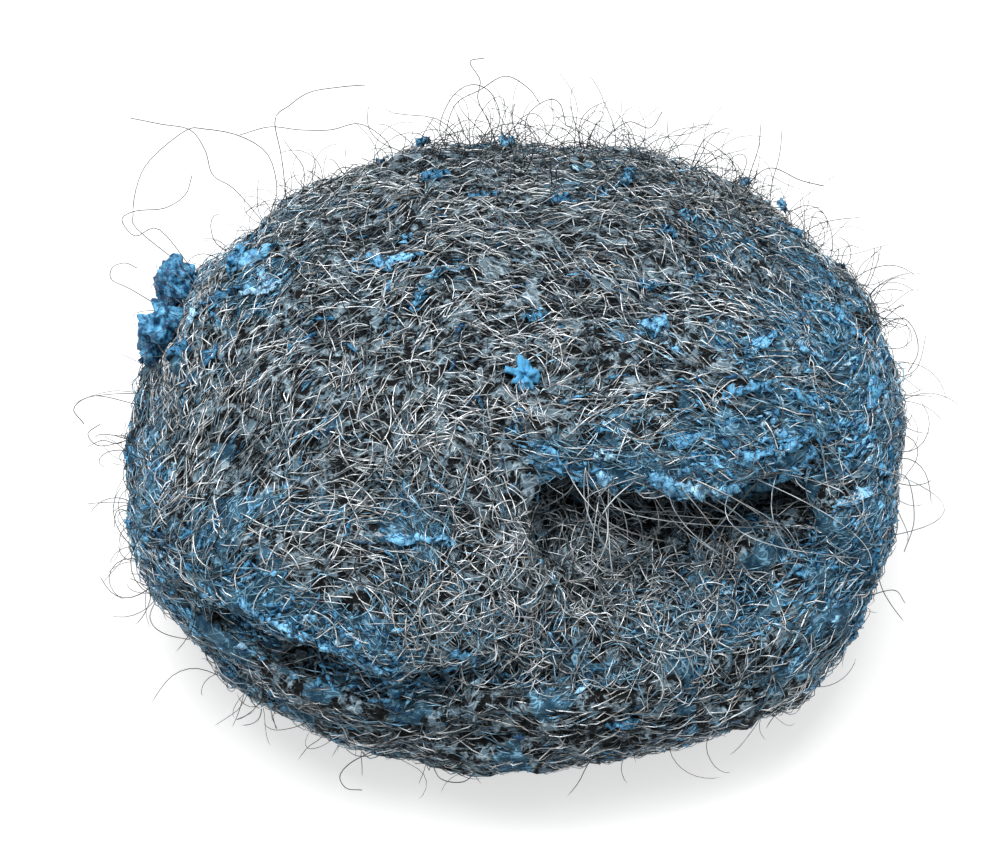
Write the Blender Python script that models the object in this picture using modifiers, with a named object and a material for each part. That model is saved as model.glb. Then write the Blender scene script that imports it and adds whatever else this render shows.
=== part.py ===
# Steel wool soap pad: one long ribbon of steel wool, wound into a flat cushion, then tucked and
# folded over itself, with blue soap worked into it. Metres, +Z up. The origin is under the middle
# of the pad, on the surface it lies on, with the long side along X and the open fold towards -Y.
#
# The ribbon is one piece, so the pad is one solid. Each turn or fold of the ribbon is a soft
# cushion shape. A voxel remesh unites the cushions into one skin and leaves a crease where two of
# them meet. The mouth is cut out, the deeper creases are cut as grooves, all are softened, and the
# surface is made a little lumpy.
# Lumps of soap that stand out of the wool are pieces of their own, in pockets of their own shape.

import math

import bmesh
import bpy
from mathutils import Euler, Matrix, Vector, noise

MM = 0.001

# The pad's overall sizes.
PAD_LENGTH = 75.0 * MM
PAD_WIDTH = 66.0 * MM
PAD_HEIGHT = 35.0 * MM

# The turns of ribbon stacked round the rim. TURN_INSETS says how far each one stands back, from
# the floor up, and FOOT_DEPTH how much of the lowest one the flat foot cuts off.
TURN_THICKNESS = 0.177 * PAD_HEIGHT
TURN_PITCH = 0.129 * PAD_HEIGHT
TURN_INSETS = (0.099 * PAD_LENGTH, 0.043 * PAD_LENGTH, 0.011 * PAD_LENGTH, 0.0)
TURN_FULLNESS = 3.5
FOOT_DEPTH = 0.029 * PAD_HEIGHT

# The folds over the turns. Each row is the size and the centre, as shares of the pad's length,
# width and height, and the turn about X, Y and Z in degrees.
FOLDS = (
    # The belly, a full bulge at the front left.
    ((0.600, 0.530, 0.657), (-0.176, -0.159, 0.514), (3, 4, -22)),
    # The cheek, the low part under the mouth at the front right.
    ((0.693, 0.576, 0.429), (0.107, -0.189, 0.451), (14, 6, 8)),
    # The middle, which joins belly, flap and back.
    ((0.613, 0.606, 0.571), (-0.120, 0.030, 0.686), (3, 2, -8)),
    # The flap, whose front edge is the lip over the mouth.
    ((0.533, 0.515, 0.371), (0.200, 0.033, 0.766), (0, 9, -2)),
    # The right side, where the ribbon turns down over the rim.
    ((0.173, 0.545, 0.571), (0.407, 0.030, 0.514), (0, 0, 0)),
    # The back fold, over the back rim and the middle.
    ((0.733, 0.561, 0.571), (0.027, 0.205, 0.700), (-10, 1, 1)),
    # The back fold's left end, which goes down to the rim.
    ((0.413, 0.409, 0.514), (-0.267, 0.152, 0.571), (-6, -13, 24)),
)

# The mouth is the gap under the flap's front edge, as a row like those of the folds.
MOUTH = ((0.400, 0.273, 0.200), (0.200, -0.220, 0.651), (12, 9, 3))

# The creases that go deeper than where two cushions meet. Each row is the groove's width as a share
# of the pad's length, then the points along it, as shares of the pad's sizes.
GROOVES = (
    # Under the belly's lower edge, from the left side round to the front.
    (0.050, ((-0.455, -0.100, 0.600), (-0.430, -0.188, 0.600), (-0.400, -0.250, 0.590),
             (-0.360, -0.310, 0.570), (-0.290, -0.375, 0.550), (-0.210, -0.415, 0.530),
             (-0.130, -0.435, 0.515), (-0.050, -0.440, 0.510))),
    # Between the cheek and the top turn of the rim.
    (0.036, ((-0.090, -0.425, 0.590), (-0.040, -0.425, 0.550), (0.040, -0.425, 0.520),
             (0.120, -0.410, 0.515), (0.190, -0.400, 0.520))),
    # Between the turns at the front.
    (0.030, ((-0.150, -0.465, 0.490), (-0.060, -0.475, 0.480), (0.060, -0.475, 0.490),
             (0.200, -0.445, 0.490), (0.300, -0.390, 0.480), (0.370, -0.330, 0.480))),
    (0.030, ((-0.380, -0.320, 0.400), (-0.310, -0.385, 0.410), (-0.220, -0.440, 0.415),
             (-0.100, -0.480, 0.415), (0.050, -0.495, 0.420), (0.180, -0.465, 0.420),
             (0.300, -0.400, 0.420), (0.390, -0.320, 0.420))),
    # The mouth's end, where it rises to the right under the flap.
    (0.040, ((0.290, -0.200, 0.740), (0.345, -0.180, 0.765), (0.375, -0.155, 0.785),
             (0.400, -0.125, 0.800))),
)
GROOVE_OVERLAP = 1.5

# Soft lumps of the wool itself and the smaller tufts on them, the size of the remesh's cells, and
# the share of its faces that is kept at the end. A height is a lump's or tuft's from its middle
# level up, and a spacing is the size of the cloud pattern that makes it.
LUMP_SPACING = 0.12 * PAD_LENGTH
LUMP_HEIGHT = 0.0107 * PAD_LENGTH
TUFT_SPACING = 0.043 * PAD_LENGTH
TUFT_HEIGHT = 0.016 * PAD_LENGTH
WOOL_MESH = 0.0127 * PAD_LENGTH
SMOOTH_FACTOR = 0.5
SMOOTH_STEPS = 3
FACES_KEPT = 0.22

# Soap that stands out of the wool. Each row is a name, the lump's size as shares of SOAP_SIZE, and
# the line that finds its place on the wool: a point outside the pad and a point inside it, as
# shares of the pad's sizes. SOAP_SUNK is the share of a lump that lies in its pocket.
SOAP_SIZE = 0.067 * PAD_LENGTH
SOAP_LUMPS = (
    ("soap_lump_upper", (0.88, 1.12, 0.76), (-0.747, 0.394, 0.971), (-0.293, 0.159, 0.514)),
    ("soap_lump_lower", (1.00, 1.32, 0.72), (-0.720, 0.212, 1.200), (-0.347, 0.114, 0.457)),
    ("soap_bead_middle", (0.52, 0.46, 0.38), (0.021, -0.076, 1.714), (0.021, -0.076, 0.286)),
)
SOAP_SUNK = 0.35
SOAP_ROUGHNESS = 0.22
SOAP_FACETING = 1.7
SOAP_CLEARANCE = 0.3 * MM

STEEL_GREY = (0.135, 0.15, 0.165, 1.0)
SOAP_BLUE = (0.05, 0.25, 0.48, 1.0)

CUSHION_SEGMENTS = 64
CUSHION_RINGS = 32


def clear_scene():
    for obj in list(bpy.data.objects):
        bpy.data.objects.remove(obj)


def new_collection(name):
    collection = bpy.data.collections.new(name)
    bpy.context.scene.collection.children.link(collection)
    return collection


def make_material(name, colour, roughness, metallic):
    material = bpy.data.materials.new(name)
    material.use_nodes = True
    shader = material.node_tree.nodes["Principled BSDF"]
    shader.inputs["Base Color"].default_value = colour
    shader.inputs["Roughness"].default_value = roughness
    shader.inputs["Metallic"].default_value = metallic
    return material


def in_pad(shares):
    """Shares of the pad's length, width and height, in metres."""
    return Vector((shares[0] * PAD_LENGTH, shares[1] * PAD_WIDTH, shares[2] * PAD_HEIGHT))


def signed_power(value, power):
    return math.copysign(abs(value) ** power, value)


def add_cushion(bm, size, centre, turned=(0, 0, 0), squareness=2.2, fullness=2.3):
    """Adds a soft cushion to bm: a superellipsoid. squareness rules its outline from above and
    fullness its section, and 2 is an ellipse in both. turned is in degrees about X, Y and Z."""
    sphere = bmesh.ops.create_uvsphere(
        bm, u_segments=CUSHION_SEGMENTS, v_segments=CUSHION_RINGS, radius=1
    )
    place = Matrix.LocRotScale(centre, Euler([math.radians(angle) for angle in turned]), None)
    for vert in sphere["verts"]:
        round_the_rim = math.atan2(vert.co.y, vert.co.x)
        up = math.asin(max(-1.0, min(1.0, vert.co.z)))
        reach = math.cos(up) ** (2 / fullness)
        vert.co = place @ Vector((
            reach * signed_power(math.cos(round_the_rim), 2 / squareness) * size[0] / 2,
            reach * signed_power(math.sin(round_the_rim), 2 / squareness) * size[1] / 2,
            signed_power(math.sin(up), 2 / fullness) * size[2] / 2,
        ))


def new_object(name, bm, collection):
    mesh = bpy.data.meshes.new(name)
    bm.to_mesh(mesh)
    bm.free()
    obj = bpy.data.objects.new(name, mesh)
    collection.objects.link(obj)
    return obj


def as_helper(obj):
    obj.hide_render = True
    obj.display_type = "WIRE"
    return obj


def add_boolean(obj, name, cutter):
    """Cuts the cutter out of obj."""
    boolean = obj.modifiers.new(name, "BOOLEAN")
    boolean.operation = "DIFFERENCE"
    boolean.solver = "EXACT"
    boolean.object = as_helper(cutter)


def add_even_mesh(obj, name):
    """A voxel remesh. It also unites the shapes that overlap in obj into one skin."""
    even = obj.modifiers.new(name, "REMESH")
    even.mode = "VOXEL"
    even.voxel_size = WOOL_MESH


def add_turns(bm):
    """The ribbon's turns round the rim. Each is a cushion of its own size, a pitch above the last."""
    for number, inset in enumerate(TURN_INSETS):
        size = (PAD_LENGTH - 2 * inset, PAD_WIDTH - 2 * inset, TURN_THICKNESS)
        centre = (0, 0, TURN_THICKNESS / 2 - FOOT_DEPTH + number * TURN_PITCH)
        add_cushion(bm, size, centre, squareness=2.0, fullness=TURN_FULLNESS)


def add_rows(bm, rows):
    for size, centre, turned in rows:
        add_cushion(bm, in_pad(size), in_pad(centre), turned)


def add_clouds(obj, name, spacing, height):
    """Raises and sinks the whole surface by a cloud pattern."""
    clouds = bpy.data.textures.new(name, "CLOUDS")
    clouds.noise_scale = spacing
    clouds.noise_depth = 1
    relief = obj.modifiers.new(name, "DISPLACE")
    relief.texture = clouds
    relief.texture_coords = "LOCAL"
    relief.strength = height * 2
    relief.mid_level = 0.5


def add_grooves(bm):
    """A chain of cushions along each groove, one between every two of its points."""
    for width, path in GROOVES:
        points = [in_pad(shares) for shares in path]
        for start, end in zip(points, points[1:]):
            along = end - start
            turned = along.to_track_quat("X", "Z").to_euler()
            size = (along.length * GROOVE_OVERLAP, width * PAD_LENGTH, width * PAD_LENGTH)
            add_cushion(bm, size, (start + end) / 2, [math.degrees(angle) for angle in turned])


def make_pad(collection, cutters):
    bm = bmesh.new()
    add_turns(bm)
    add_rows(bm, FOLDS)
    pad = new_object("wool_pad", bm, collection)
    add_even_mesh(pad, "unite_folds")

    bm = bmesh.new()
    add_rows(bm, [MOUTH])
    add_grooves(bm)
    creases = new_object("mouth_and_grooves", bm, cutters)
    add_even_mesh(creases, "unite_creases")
    add_boolean(pad, "open_creases", creases)
    add_even_mesh(pad, "even_creases")

    soft = pad.modifiers.new("soft_creases", "SMOOTH")
    soft.factor = SMOOTH_FACTOR
    soft.iterations = SMOOTH_STEPS
    add_clouds(pad, "wool_lumps", LUMP_SPACING, LUMP_HEIGHT)
    add_clouds(pad, "wool_tufts", TUFT_SPACING, TUFT_HEIGHT)
    coarse = pad.modifiers.new("fewer_faces", "DECIMATE")
    coarse.ratio = FACES_KEPT

    bm = bmesh.new()
    bmesh.ops.create_cube(bm, size=1)
    below = Matrix.LocRotScale(in_pad((0, 0, -0.5)), None, in_pad((2, 2, 1)))
    bmesh.ops.transform(bm, matrix=below, verts=bm.verts)
    add_boolean(pad, "flat_foot", new_object("floor_cut", bm, cutters))
    pad.data.materials.append(make_material("steel_wool", STEEL_GREY, 0.45, 0.9))
    return pad


def meet_wool(pad, outside, inside):
    """Where the line from outside to inside meets the pad, and which way the wool faces there."""
    shape = pad.evaluated_get(bpy.context.evaluated_depsgraph_get())
    start = in_pad(outside)
    _, point, normal, _ = shape.ray_cast(start, in_pad(inside) - start)
    return point, normal


def make_lump(name, size, point, normal, collection, cutters):
    """An uneven lump of soap, and the cutter for its pocket, which is the lump with all its faces
    moved out by the clearance."""
    bm = bmesh.new()
    bmesh.ops.create_icosphere(bm, subdivisions=3, radius=1)
    half = Vector(size) * SOAP_SIZE / 2
    place = Matrix.LocRotScale(
        point + normal * half.z * (1 - 2 * SOAP_SUNK), normal.to_track_quat("Z", "Y"), half
    )
    for vert in bm.verts:
        uneven = 1 + SOAP_ROUGHNESS * noise.noise(vert.co * SOAP_FACETING + point / SOAP_SIZE)
        vert.co = place @ (vert.co * uneven)
    bm.normal_update()

    pocket = bm.copy()
    for vert in pocket.verts:
        vert.co = vert.co + vert.normal * SOAP_CLEARANCE
    lump = new_object(name, bm, collection)
    return lump, new_object(name + "_pocket", pocket, cutters)


def make_soap(pad, collection, cutters):
    soap = make_material("blue_soap", SOAP_BLUE, 0.6, 0.0)
    bpy.context.view_layer.update()
    places = [meet_wool(pad, outside, inside) for _, _, outside, inside in SOAP_LUMPS]
    for (name, size, _, _), (point, normal) in zip(SOAP_LUMPS, places):
        lump, pocket = make_lump(name, size, point, normal, collection, cutters)
        lump.data.materials.append(soap)
        add_boolean(pad, "seat_" + name, pocket)


def main():
    clear_scene()
    pad_parts = new_collection("steel_wool_pad")
    cutters = new_collection("cutters")
    pad = make_pad(pad_parts, cutters)
    make_soap(pad, pad_parts, cutters)


main()
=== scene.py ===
# %% [markdown]
# A pad of steel wool with blue soap worked into it, dressed in Blender.
#
# Steel wool is a tangle of very long, very thin shavings of steel. A pad is a ribbon of it, wound
# and folded into a cushion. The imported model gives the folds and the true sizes. This lesson puts
# a fine skin over them, lays thousands of shavings on that skin, adds the soap, and then lights
# and frames the pad. Lengths are in millimetres inside the arrays, and in metres in Blender.

import math

import bmesh
import bpy
import numpy as np
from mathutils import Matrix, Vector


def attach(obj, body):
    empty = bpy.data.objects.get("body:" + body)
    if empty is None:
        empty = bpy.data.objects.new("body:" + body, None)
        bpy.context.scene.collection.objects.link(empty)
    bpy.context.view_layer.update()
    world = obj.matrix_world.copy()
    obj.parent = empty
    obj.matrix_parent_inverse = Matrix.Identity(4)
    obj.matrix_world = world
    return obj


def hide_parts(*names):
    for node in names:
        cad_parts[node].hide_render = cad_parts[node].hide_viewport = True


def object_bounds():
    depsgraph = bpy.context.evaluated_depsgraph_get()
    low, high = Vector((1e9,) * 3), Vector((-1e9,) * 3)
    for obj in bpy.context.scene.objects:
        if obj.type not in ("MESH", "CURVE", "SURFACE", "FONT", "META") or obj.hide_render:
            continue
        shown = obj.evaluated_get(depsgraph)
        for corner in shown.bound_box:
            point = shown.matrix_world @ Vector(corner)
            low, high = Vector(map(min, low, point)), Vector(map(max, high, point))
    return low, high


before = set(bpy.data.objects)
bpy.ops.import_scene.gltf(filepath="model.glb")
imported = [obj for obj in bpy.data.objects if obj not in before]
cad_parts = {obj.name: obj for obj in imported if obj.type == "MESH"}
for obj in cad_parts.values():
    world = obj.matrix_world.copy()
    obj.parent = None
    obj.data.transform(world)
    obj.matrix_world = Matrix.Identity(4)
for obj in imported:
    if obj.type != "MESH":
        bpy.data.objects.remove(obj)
cad_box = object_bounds()
MM = 0.001
WOOL_NODE = "wool_pad"
print("nodes:", sorted(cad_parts))

# %% [markdown]
# ## The camera
#
# The camera comes first, because places on the pad are easiest to name by where they show in the
# picture. A long lens from a quarter of a metre looks down at fifty degrees. The shift moves the
# pad a little sideways and up in the frame and leaves the perspective alone.

# %% Camera
PICTURE_WIDTH = 1000
LENS = 100.0
SENSOR = 36.0
CAMERA_PLACE = np.array([0.0, -170.5, 221.2])
CAMERA_TARGET = np.array([0.0, 0.0, 18.0])
TARGET_PIXEL = np.array([510.0, 440.0])
SHIFT = (-0.010, 0.006)
NEAREST_SEEN = 0.01
FOCAL_PIXELS = LENS / SENSOR * PICTURE_WIDTH

VIEW_AWAY = (CAMERA_TARGET - CAMERA_PLACE) / np.linalg.norm(CAMERA_TARGET - CAMERA_PLACE)
VIEW_RIGHT = np.array([1.0, 0.0, 0.0])
VIEW_UP = np.cross(VIEW_RIGHT, VIEW_AWAY)


def put_in_scene(name, data):
    """A new object that holds this data."""
    holder = bpy.data.objects.new(name, data)
    bpy.context.scene.collection.objects.link(holder)
    return holder


def add_camera():
    camera = bpy.data.cameras.new("camera")
    camera.lens = LENS
    camera.sensor_width = SENSOR
    camera.shift_x, camera.shift_y = SHIFT
    camera.clip_start = NEAREST_SEEN
    holder = put_in_scene("camera", camera)
    holder.location = CAMERA_PLACE * MM
    holder.rotation_euler = (math.atan2(-VIEW_AWAY[1], VIEW_AWAY[2]) + math.pi, 0, 0)
    bpy.context.scene.camera = holder
    return holder


def seen_at(points):
    """The picture's pixels where points show: the target's pixel plus the focal length in pixels
    times the sideways (or upward) offset over the depth. Also the depth, in millimetres."""
    offset = points - CAMERA_PLACE
    depth = offset @ VIEW_AWAY
    across = TARGET_PIXEL[0] + FOCAL_PIXELS * (offset @ VIEW_RIGHT) / depth
    down = TARGET_PIXEL[1] - FOCAL_PIXELS * (offset @ VIEW_UP) / depth
    return np.stack([across, down], axis=1), depth


def in_the_air(pixels, back):
    """Points that show at these pixels and lie on the upright plane Y = back: the sight line's
    direction, stretched until it meets the plane."""
    pixels = np.asarray(pixels, float)
    right = (pixels[:, 0] - TARGET_PIXEL[0]) / FOCAL_PIXELS
    up = (TARGET_PIXEL[1] - pixels[:, 1]) / FOCAL_PIXELS
    ray = VIEW_AWAY + right[:, None] * VIEW_RIGHT + up[:, None] * VIEW_UP
    return CAMERA_PLACE + ray * ((back - CAMERA_PLACE[1]) / ray[:, 1])[:, None]


camera = add_camera()
print("camera tilt in degrees:", round(math.degrees(camera.rotation_euler.x), 2))

# %% [markdown]
# ## Helpers for shapes
#
# Two helpers do most of the work. The first gives soft noise: every corner of a cubic lattice
# holds a random number, and a point takes a blend of the eight round it. The second carries a
# section along many paths at once, which is how a shaving, a hair and a streak of soap are all
# made. It could be a Blender curve with a bevel, but arrays are quicker for thousands of paths.

# %% Noise
NOISE_CELLS = 64


def soft_noise(points, spacing, seed):
    """Soft random values from 0 to 1. Between two lattice corners the weight is 3t^2 - 2t^3,
    along each axis in turn."""
    corners = np.random.default_rng(seed).random((NOISE_CELLS,) * 3)
    place = points / spacing
    base = np.floor(place).astype(int)
    part = place - base
    part = part * part * (3 - 2 * part)
    value = np.zeros(len(points))
    for step in np.ndindex(2, 2, 2):
        share = np.prod(np.where(step, part, 1 - part), axis=1)
        value += share * corners[tuple(((base + step) % NOISE_CELLS).T)]
    return value


print("noise lattice:", NOISE_CELLS, "corners a side")


# %% Directions and tubes
def unit(vectors):
    """Vectors of length one, in the same directions."""
    return vectors / np.maximum(np.linalg.norm(vectors, axis=-1, keepdims=True), 1e-9)


def dot(first, second):
    """The dot product along the last axis, which stays, one long."""
    return np.sum(first * second, axis=-1, keepdims=True)


def ease(value, low, high):
    """0 below low, 1 above high, and 3t^2 - 2t^3 between them."""
    t = np.clip((value - low) / (high - low), 0, 1)
    return t * t * (3 - 2 * t)


def tube_shape(paths, up, wide, thick, sides, roll=0.0):
    """Closed tubes along paths, an array of tube, step and point. A ring's corner at the angle a
    stands off the path by wide * cos(a) across it and thick * sin(a) along up. Gives points,
    triangles and a map, where u runs round the tube from 0 to 1 and v along it."""
    count, steps = paths.shape[:2]
    along = unit(np.gradient(paths, axis=1))
    up = unit(up - dot(up, along) * along)
    across = np.cross(up, along)
    angle = np.arange(sides) / sides * 2 * math.pi + np.broadcast_to(roll, (count,))[:, None]
    off_across = wide[:, :, None] * np.cos(angle)[:, None, :]
    off_up = thick[:, :, None] * np.sin(angle)[:, None, :]
    points = (
        paths[:, :, None, :]
        + off_across[..., None] * across[:, :, None, :]
        + off_up[..., None] * up[:, :, None, :]
    )

    tube = np.arange(count)[:, None, None] * steps * sides
    ring = np.arange(steps - 1)[None, :, None] * sides
    corner = np.arange(sides)[None, None, :]
    after = (corner + 1) % sides
    first, second = tube + ring + corner, tube + ring + after
    walls = np.stack([first, second, second + sides, first, second + sides, first + sides], axis=-1)
    u = np.broadcast_to(corner / sides, first.shape)
    v = np.broadcast_to(ring / sides / (steps - 1), first.shape)
    u_next, v_next = u + 1 / sides, v + 1 / (steps - 1)
    map_u = np.stack([u, u_next, u_next, u, u_next, u], axis=-1)
    map_v = np.stack([v, v, v_next, v, v_next, v_next], axis=-1)

    fan = np.arange(1, sides - 1)
    start = np.stack([0 * fan, fan + 1, fan], axis=-1)[None] + tube
    end = np.stack([0 * fan, fan, fan + 1], axis=-1)[None] + tube + (steps - 1) * sides
    caps = np.concatenate([start, end], axis=1)
    cap_u = np.broadcast_to([0.2, 0.8, 0.5], caps.shape)
    cap_v = np.concatenate([np.full(start.shape, 0.02), np.full(end.shape, 0.98)], axis=1)
    cap_v = cap_v + np.broadcast_to([0.0, 0.0, 0.01], caps.shape)

    triangles = np.concatenate([walls.reshape(count, -1, 3), caps], axis=1)
    flat_map = np.stack([
        np.concatenate([map_u.reshape(count, -1, 3), cap_u], axis=1),
        np.concatenate([map_v.reshape(count, -1, 3), cap_v], axis=1),
    ], axis=-1)
    return points.reshape(-1, 3), triangles, flat_map


# %% Slivers
def sliver_shape(paths, up, radius, roll=0.0):
    """Three-sided tubes that end in points, which takes far fewer triangles. The first and the last
    point of a path are its tips, and a ring stands at every other one."""
    count, steps = paths.shape[:2]
    rings = steps - 2
    ring_points, walls, wall_map = tube_shape(paths, up, radius, radius, 3, roll)
    ring_points = ring_points.reshape(count, steps, 3, 3)[:, 1:-1].reshape(count, -1, 3)
    points = np.concatenate([ring_points, paths[:, :1], paths[:, -1:]], axis=1)
    tube = np.arange(count)[:, None, None] * (3 * rings + 2)
    side = np.arange(3)
    ring = np.arange(rings - 1)[:, None] * 3
    first, second = (ring + side).ravel(), (ring + (side + 1) % 3).ravel()
    between = np.stack([first, second, second + 3, first, second + 3, first + 3], axis=-1)
    foot = np.stack([np.full(3, 3 * rings), (side + 1) % 3, side], axis=-1)
    head = np.stack([np.full(3, 3 * rings + 1), side, (side + 1) % 3], axis=-1)
    head = head + [0, 3 * rings - 3, 3 * rings - 3]
    triangles = tube + np.concatenate([between.reshape(-1, 3), foot, head])[None]
    wall_map = wall_map[:, :6 * (steps - 1)].reshape(count, steps - 1, 6, 3, 2)
    foot_map = wall_map[:, 0, 1::2][:, :, [0, 2, 1]]
    head_map = wall_map[:, -1, 0::2][:, :, [2, 0, 1]]
    flat_map = [wall_map[:, 1:-1].reshape(count, -1, 3, 2), foot_map, head_map]
    return points.reshape(-1, 3), triangles, np.concatenate(flat_map, axis=1)


straight = np.linspace((0, 0, 0), (1, 0, 0), 5)[None]
sliver = sliver_shape(straight, np.array([0.0, 0.0, 1.0]), np.full((1, 5), 0.1))
print("a sliver of five steps has", sliver[1].shape[1], "triangles")

# %% [markdown]
# ## The skin of the wool
#
# Under the loose shavings lies packed wool, nearly black in its gaps, and that black is painted
# shade. It could be the imported solid as it is, but its facets would show wherever the shavings
# part. So a copy of the solid is remeshed finely and its facets are relaxed. The creases between the
# folds go deeper, and soft noise raises the rest into tufts and sinks it into hollows.

# %% Fine copy of the pad
SKIN_CELL = 0.72
RELAX_STEPS = 6
TUFT_SPACING = 2.4
TUFT_HEIGHT = 0.7
HOLLOW_SPACING = 4.5
HOLLOW_DEPTH = 1.0
VALLEY_STEPS = 14
CREASE_STEPS = 26
CREASE_START = 0.08
CREASE_GAIN = 1.5
CREASE_LIMIT = 2.0
SAME_PLACE = 0.001
FLOOR_EASE = (0.3, 3.0)
HOLLOW_EASE = (0.7, 0.88)
TUFT_MIDDLE = 0.75


def fine_copy(node_name, name, cell, relax_steps):
    """A node's mesh with its doubles merged, remeshed in cubes of this size and relaxed."""
    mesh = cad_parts[node_name].data.copy()
    bm = bmesh.new()
    bm.from_mesh(mesh)
    bmesh.ops.remove_doubles(bm, verts=bm.verts, dist=SAME_PLACE * MM)
    bm.to_mesh(mesh)
    bm.free()
    rough = put_in_scene(name + "_rough", mesh)
    remesh = rough.modifiers.new("fine", "REMESH")
    remesh.mode = "VOXEL"
    remesh.voxel_size = cell * MM
    relax = rough.modifiers.new("relax", "SMOOTH")
    relax.factor = 0.5
    relax.iterations = relax_steps
    triangles = rough.modifiers.new("triangles", "TRIANGULATE")
    triangles.quad_method = "SHORTEST_DIAGONAL"
    seen = rough.evaluated_get(bpy.context.evaluated_depsgraph_get())
    fine = bpy.data.meshes.new_from_object(seen)
    bpy.data.objects.remove(rough)
    return fine


def read_points(mesh):
    points = np.empty(len(mesh.vertices) * 3, np.float32)
    mesh.vertices.foreach_get("co", points)
    return points.reshape(-1, 3).astype(float) / MM


def read_triangles(mesh):
    corners = np.empty(len(mesh.loops), np.int32)
    mesh.loops.foreach_get("vertex_index", corners)
    return corners.reshape(-1, 3)


def relaxed(points, triangles, steps):
    """Points moved onto the mean of their neighbours, over and over."""
    for _ in range(steps):
        total = np.zeros_like(points)
        for k in range(3):
            np.add.at(total, triangles[:, k], points[triangles[:, (k + 1) % 3]])
        uses = np.bincount(triangles.ravel(), minlength=len(points))
        points = total / uses[:, None]
    return points


def vertex_normals(points, triangles):
    """The sum of the face normals round each point, with a big face counting more."""
    a, b, c = (points[triangles[:, k]] for k in range(3))
    face = np.cross(b - a, c - a)
    total = np.zeros_like(points)
    for k in range(3):
        np.add.at(total, triangles[:, k], face)
    return unit(total)


# %% Tufts, hollows and deeper creases
skin_mesh = fine_copy(WOOL_NODE, "wool_body", SKIN_CELL, RELAX_STEPS)
skin_points = read_points(skin_mesh)
skin_faces = read_triangles(skin_mesh)
smooth_normals = vertex_normals(skin_points, skin_faces)
off_floor = ease(skin_points[:, 2], *FLOOR_EASE)
level = relaxed(skin_points, skin_faces, CREASE_STEPS)
crease = dot(level - skin_points, smooth_normals)[:, 0] - CREASE_START
crease = np.clip(crease * CREASE_GAIN, 0, CREASE_LIMIT)
tufts = soft_noise(skin_points, TUFT_SPACING, 11)
tufts = tufts + 0.5 * soft_noise(skin_points, TUFT_SPACING / 2, 12)
hollows = ease(soft_noise(skin_points, HOLLOW_SPACING, 13), *HOLLOW_EASE)
lift = (tufts - TUFT_MIDDLE) * TUFT_HEIGHT * (1 - 0.6 * ease(crease, 0, 0.6))
lift = lift - hollows * HOLLOW_DEPTH - crease
skin_points = skin_points + smooth_normals * (lift * off_floor)[:, None]
print("skin:", len(skin_points), "points,", len(skin_faces), "triangles")

# %% [markdown]
# ## Creases named in the picture
#
# The deepest creases and pits show in the picture as dark lines and spots, and wider spots mark
# where the wool lies in shade. Each is named by its pixels and is pressed further into the skin.
# Later the shavings there are painted darker, as painted shade, and where the shadow is deep they
# are few and get no soap. The mouth's floor is raised a little, because loose wool fills it.

# %% Creases and pits
# Each line: half width in pixels, shadow from 0 to 1, depth in millimetres, and pixels along it.
SHADOW_LINES = (
    (5, 0.9, 0.6, ((132, 470), (140, 505), (152, 540), (168, 572), (194, 602), (231, 632),
     (262, 650), (300, 666), (335, 681), (370, 692), (410, 701))),
    (6, 0.8, 0.7, ((430, 668), (470, 676), (534, 682), (600, 678), (650, 668))),
    (5, 0.7, 0.6, ((440, 716), (520, 721), (600, 718), (680, 704), (750, 678))),
    (5, 0.6, 0.6, ((215, 655), (260, 686), (320, 712), (380, 730), (460, 742), (540, 744),
     (620, 738), (700, 720), (780, 682))),
    (11, 1.0, 1.0, ((572, 486), (600, 500), (640, 500), (680, 510), (720, 508), (757, 498),
     (790, 484), (815, 466), (838, 448))),
    (9, 0.9, 0.8, ((392, 562), (420, 572), (455, 568))),
    (6, 0.6, 0.8, ((205, 345), (270, 334), (330, 332), (400, 330))),
)
# Each spot: pixel across, pixel down, reach in pixels, shadow from 0 to 1.
SHADOW_SPOTS = (
    (305, 545, 16, 0.7), (245, 555, 9, 0.6), (520, 440, 12, 0.4), (760, 232, 12, 0.5),
    (560, 600, 50, 0.48), (640, 605, 60, 0.5), (740, 610, 60, 0.5), (430, 735, 50, 0.55),
    (540, 738, 60, 0.65), (650, 725, 60, 0.6), (740, 700, 50, 0.5), (450, 215, 60, 0.35),
    (560, 220, 80, 0.5), (680, 225, 70, 0.5), (380, 600, 14, 0.5), (470, 530, 12, 0.5),
    (350, 440, 10, 0.5), (405, 585, 24, 0.45), (600, 330, 12, 0.4), (425, 350, 10, 0.5),
    (690, 380, 12, 0.5),
)
# Each spot: pixel across, pixel down, reach in pixels, rise in millimetres.
RAISED_SPOTS = (
    (220, 618, 13, 0.9), (240, 632, 10, 0.5), (590, 545, 26, 1.0), (640, 550, 32, 1.8),
    (700, 554, 34, 2.2), (755, 548, 32, 2.4), (805, 528, 26, 2.2),
)

# %% Press the creases into the skin
# Creases and shadows fade in over these ranges. A face counts in full as turned to the camera where
# the cosine of its slant is over LEAST_FACING.
CREASE_EASE = (0.3, 1.2)
DEEP_EASE = (0.5, 0.95)
LEAST_FACING = 0.25


def spot_weights(spots):
    """e^-(distance/reach)^2 in the picture, of every skin point from every spot."""
    gap = np.linalg.norm(skin_pixels[:, None, :] - spots[None, :, :2], axis=2)
    return np.exp(-((gap / spots[:, 2]) ** 2))


def strongest_spot(spots):
    """Every skin point's highest value of amount times weight over the spots."""
    spots = np.array(spots, float)
    return (spots[:, 3] * spot_weights(spots)).max(axis=1)


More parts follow.
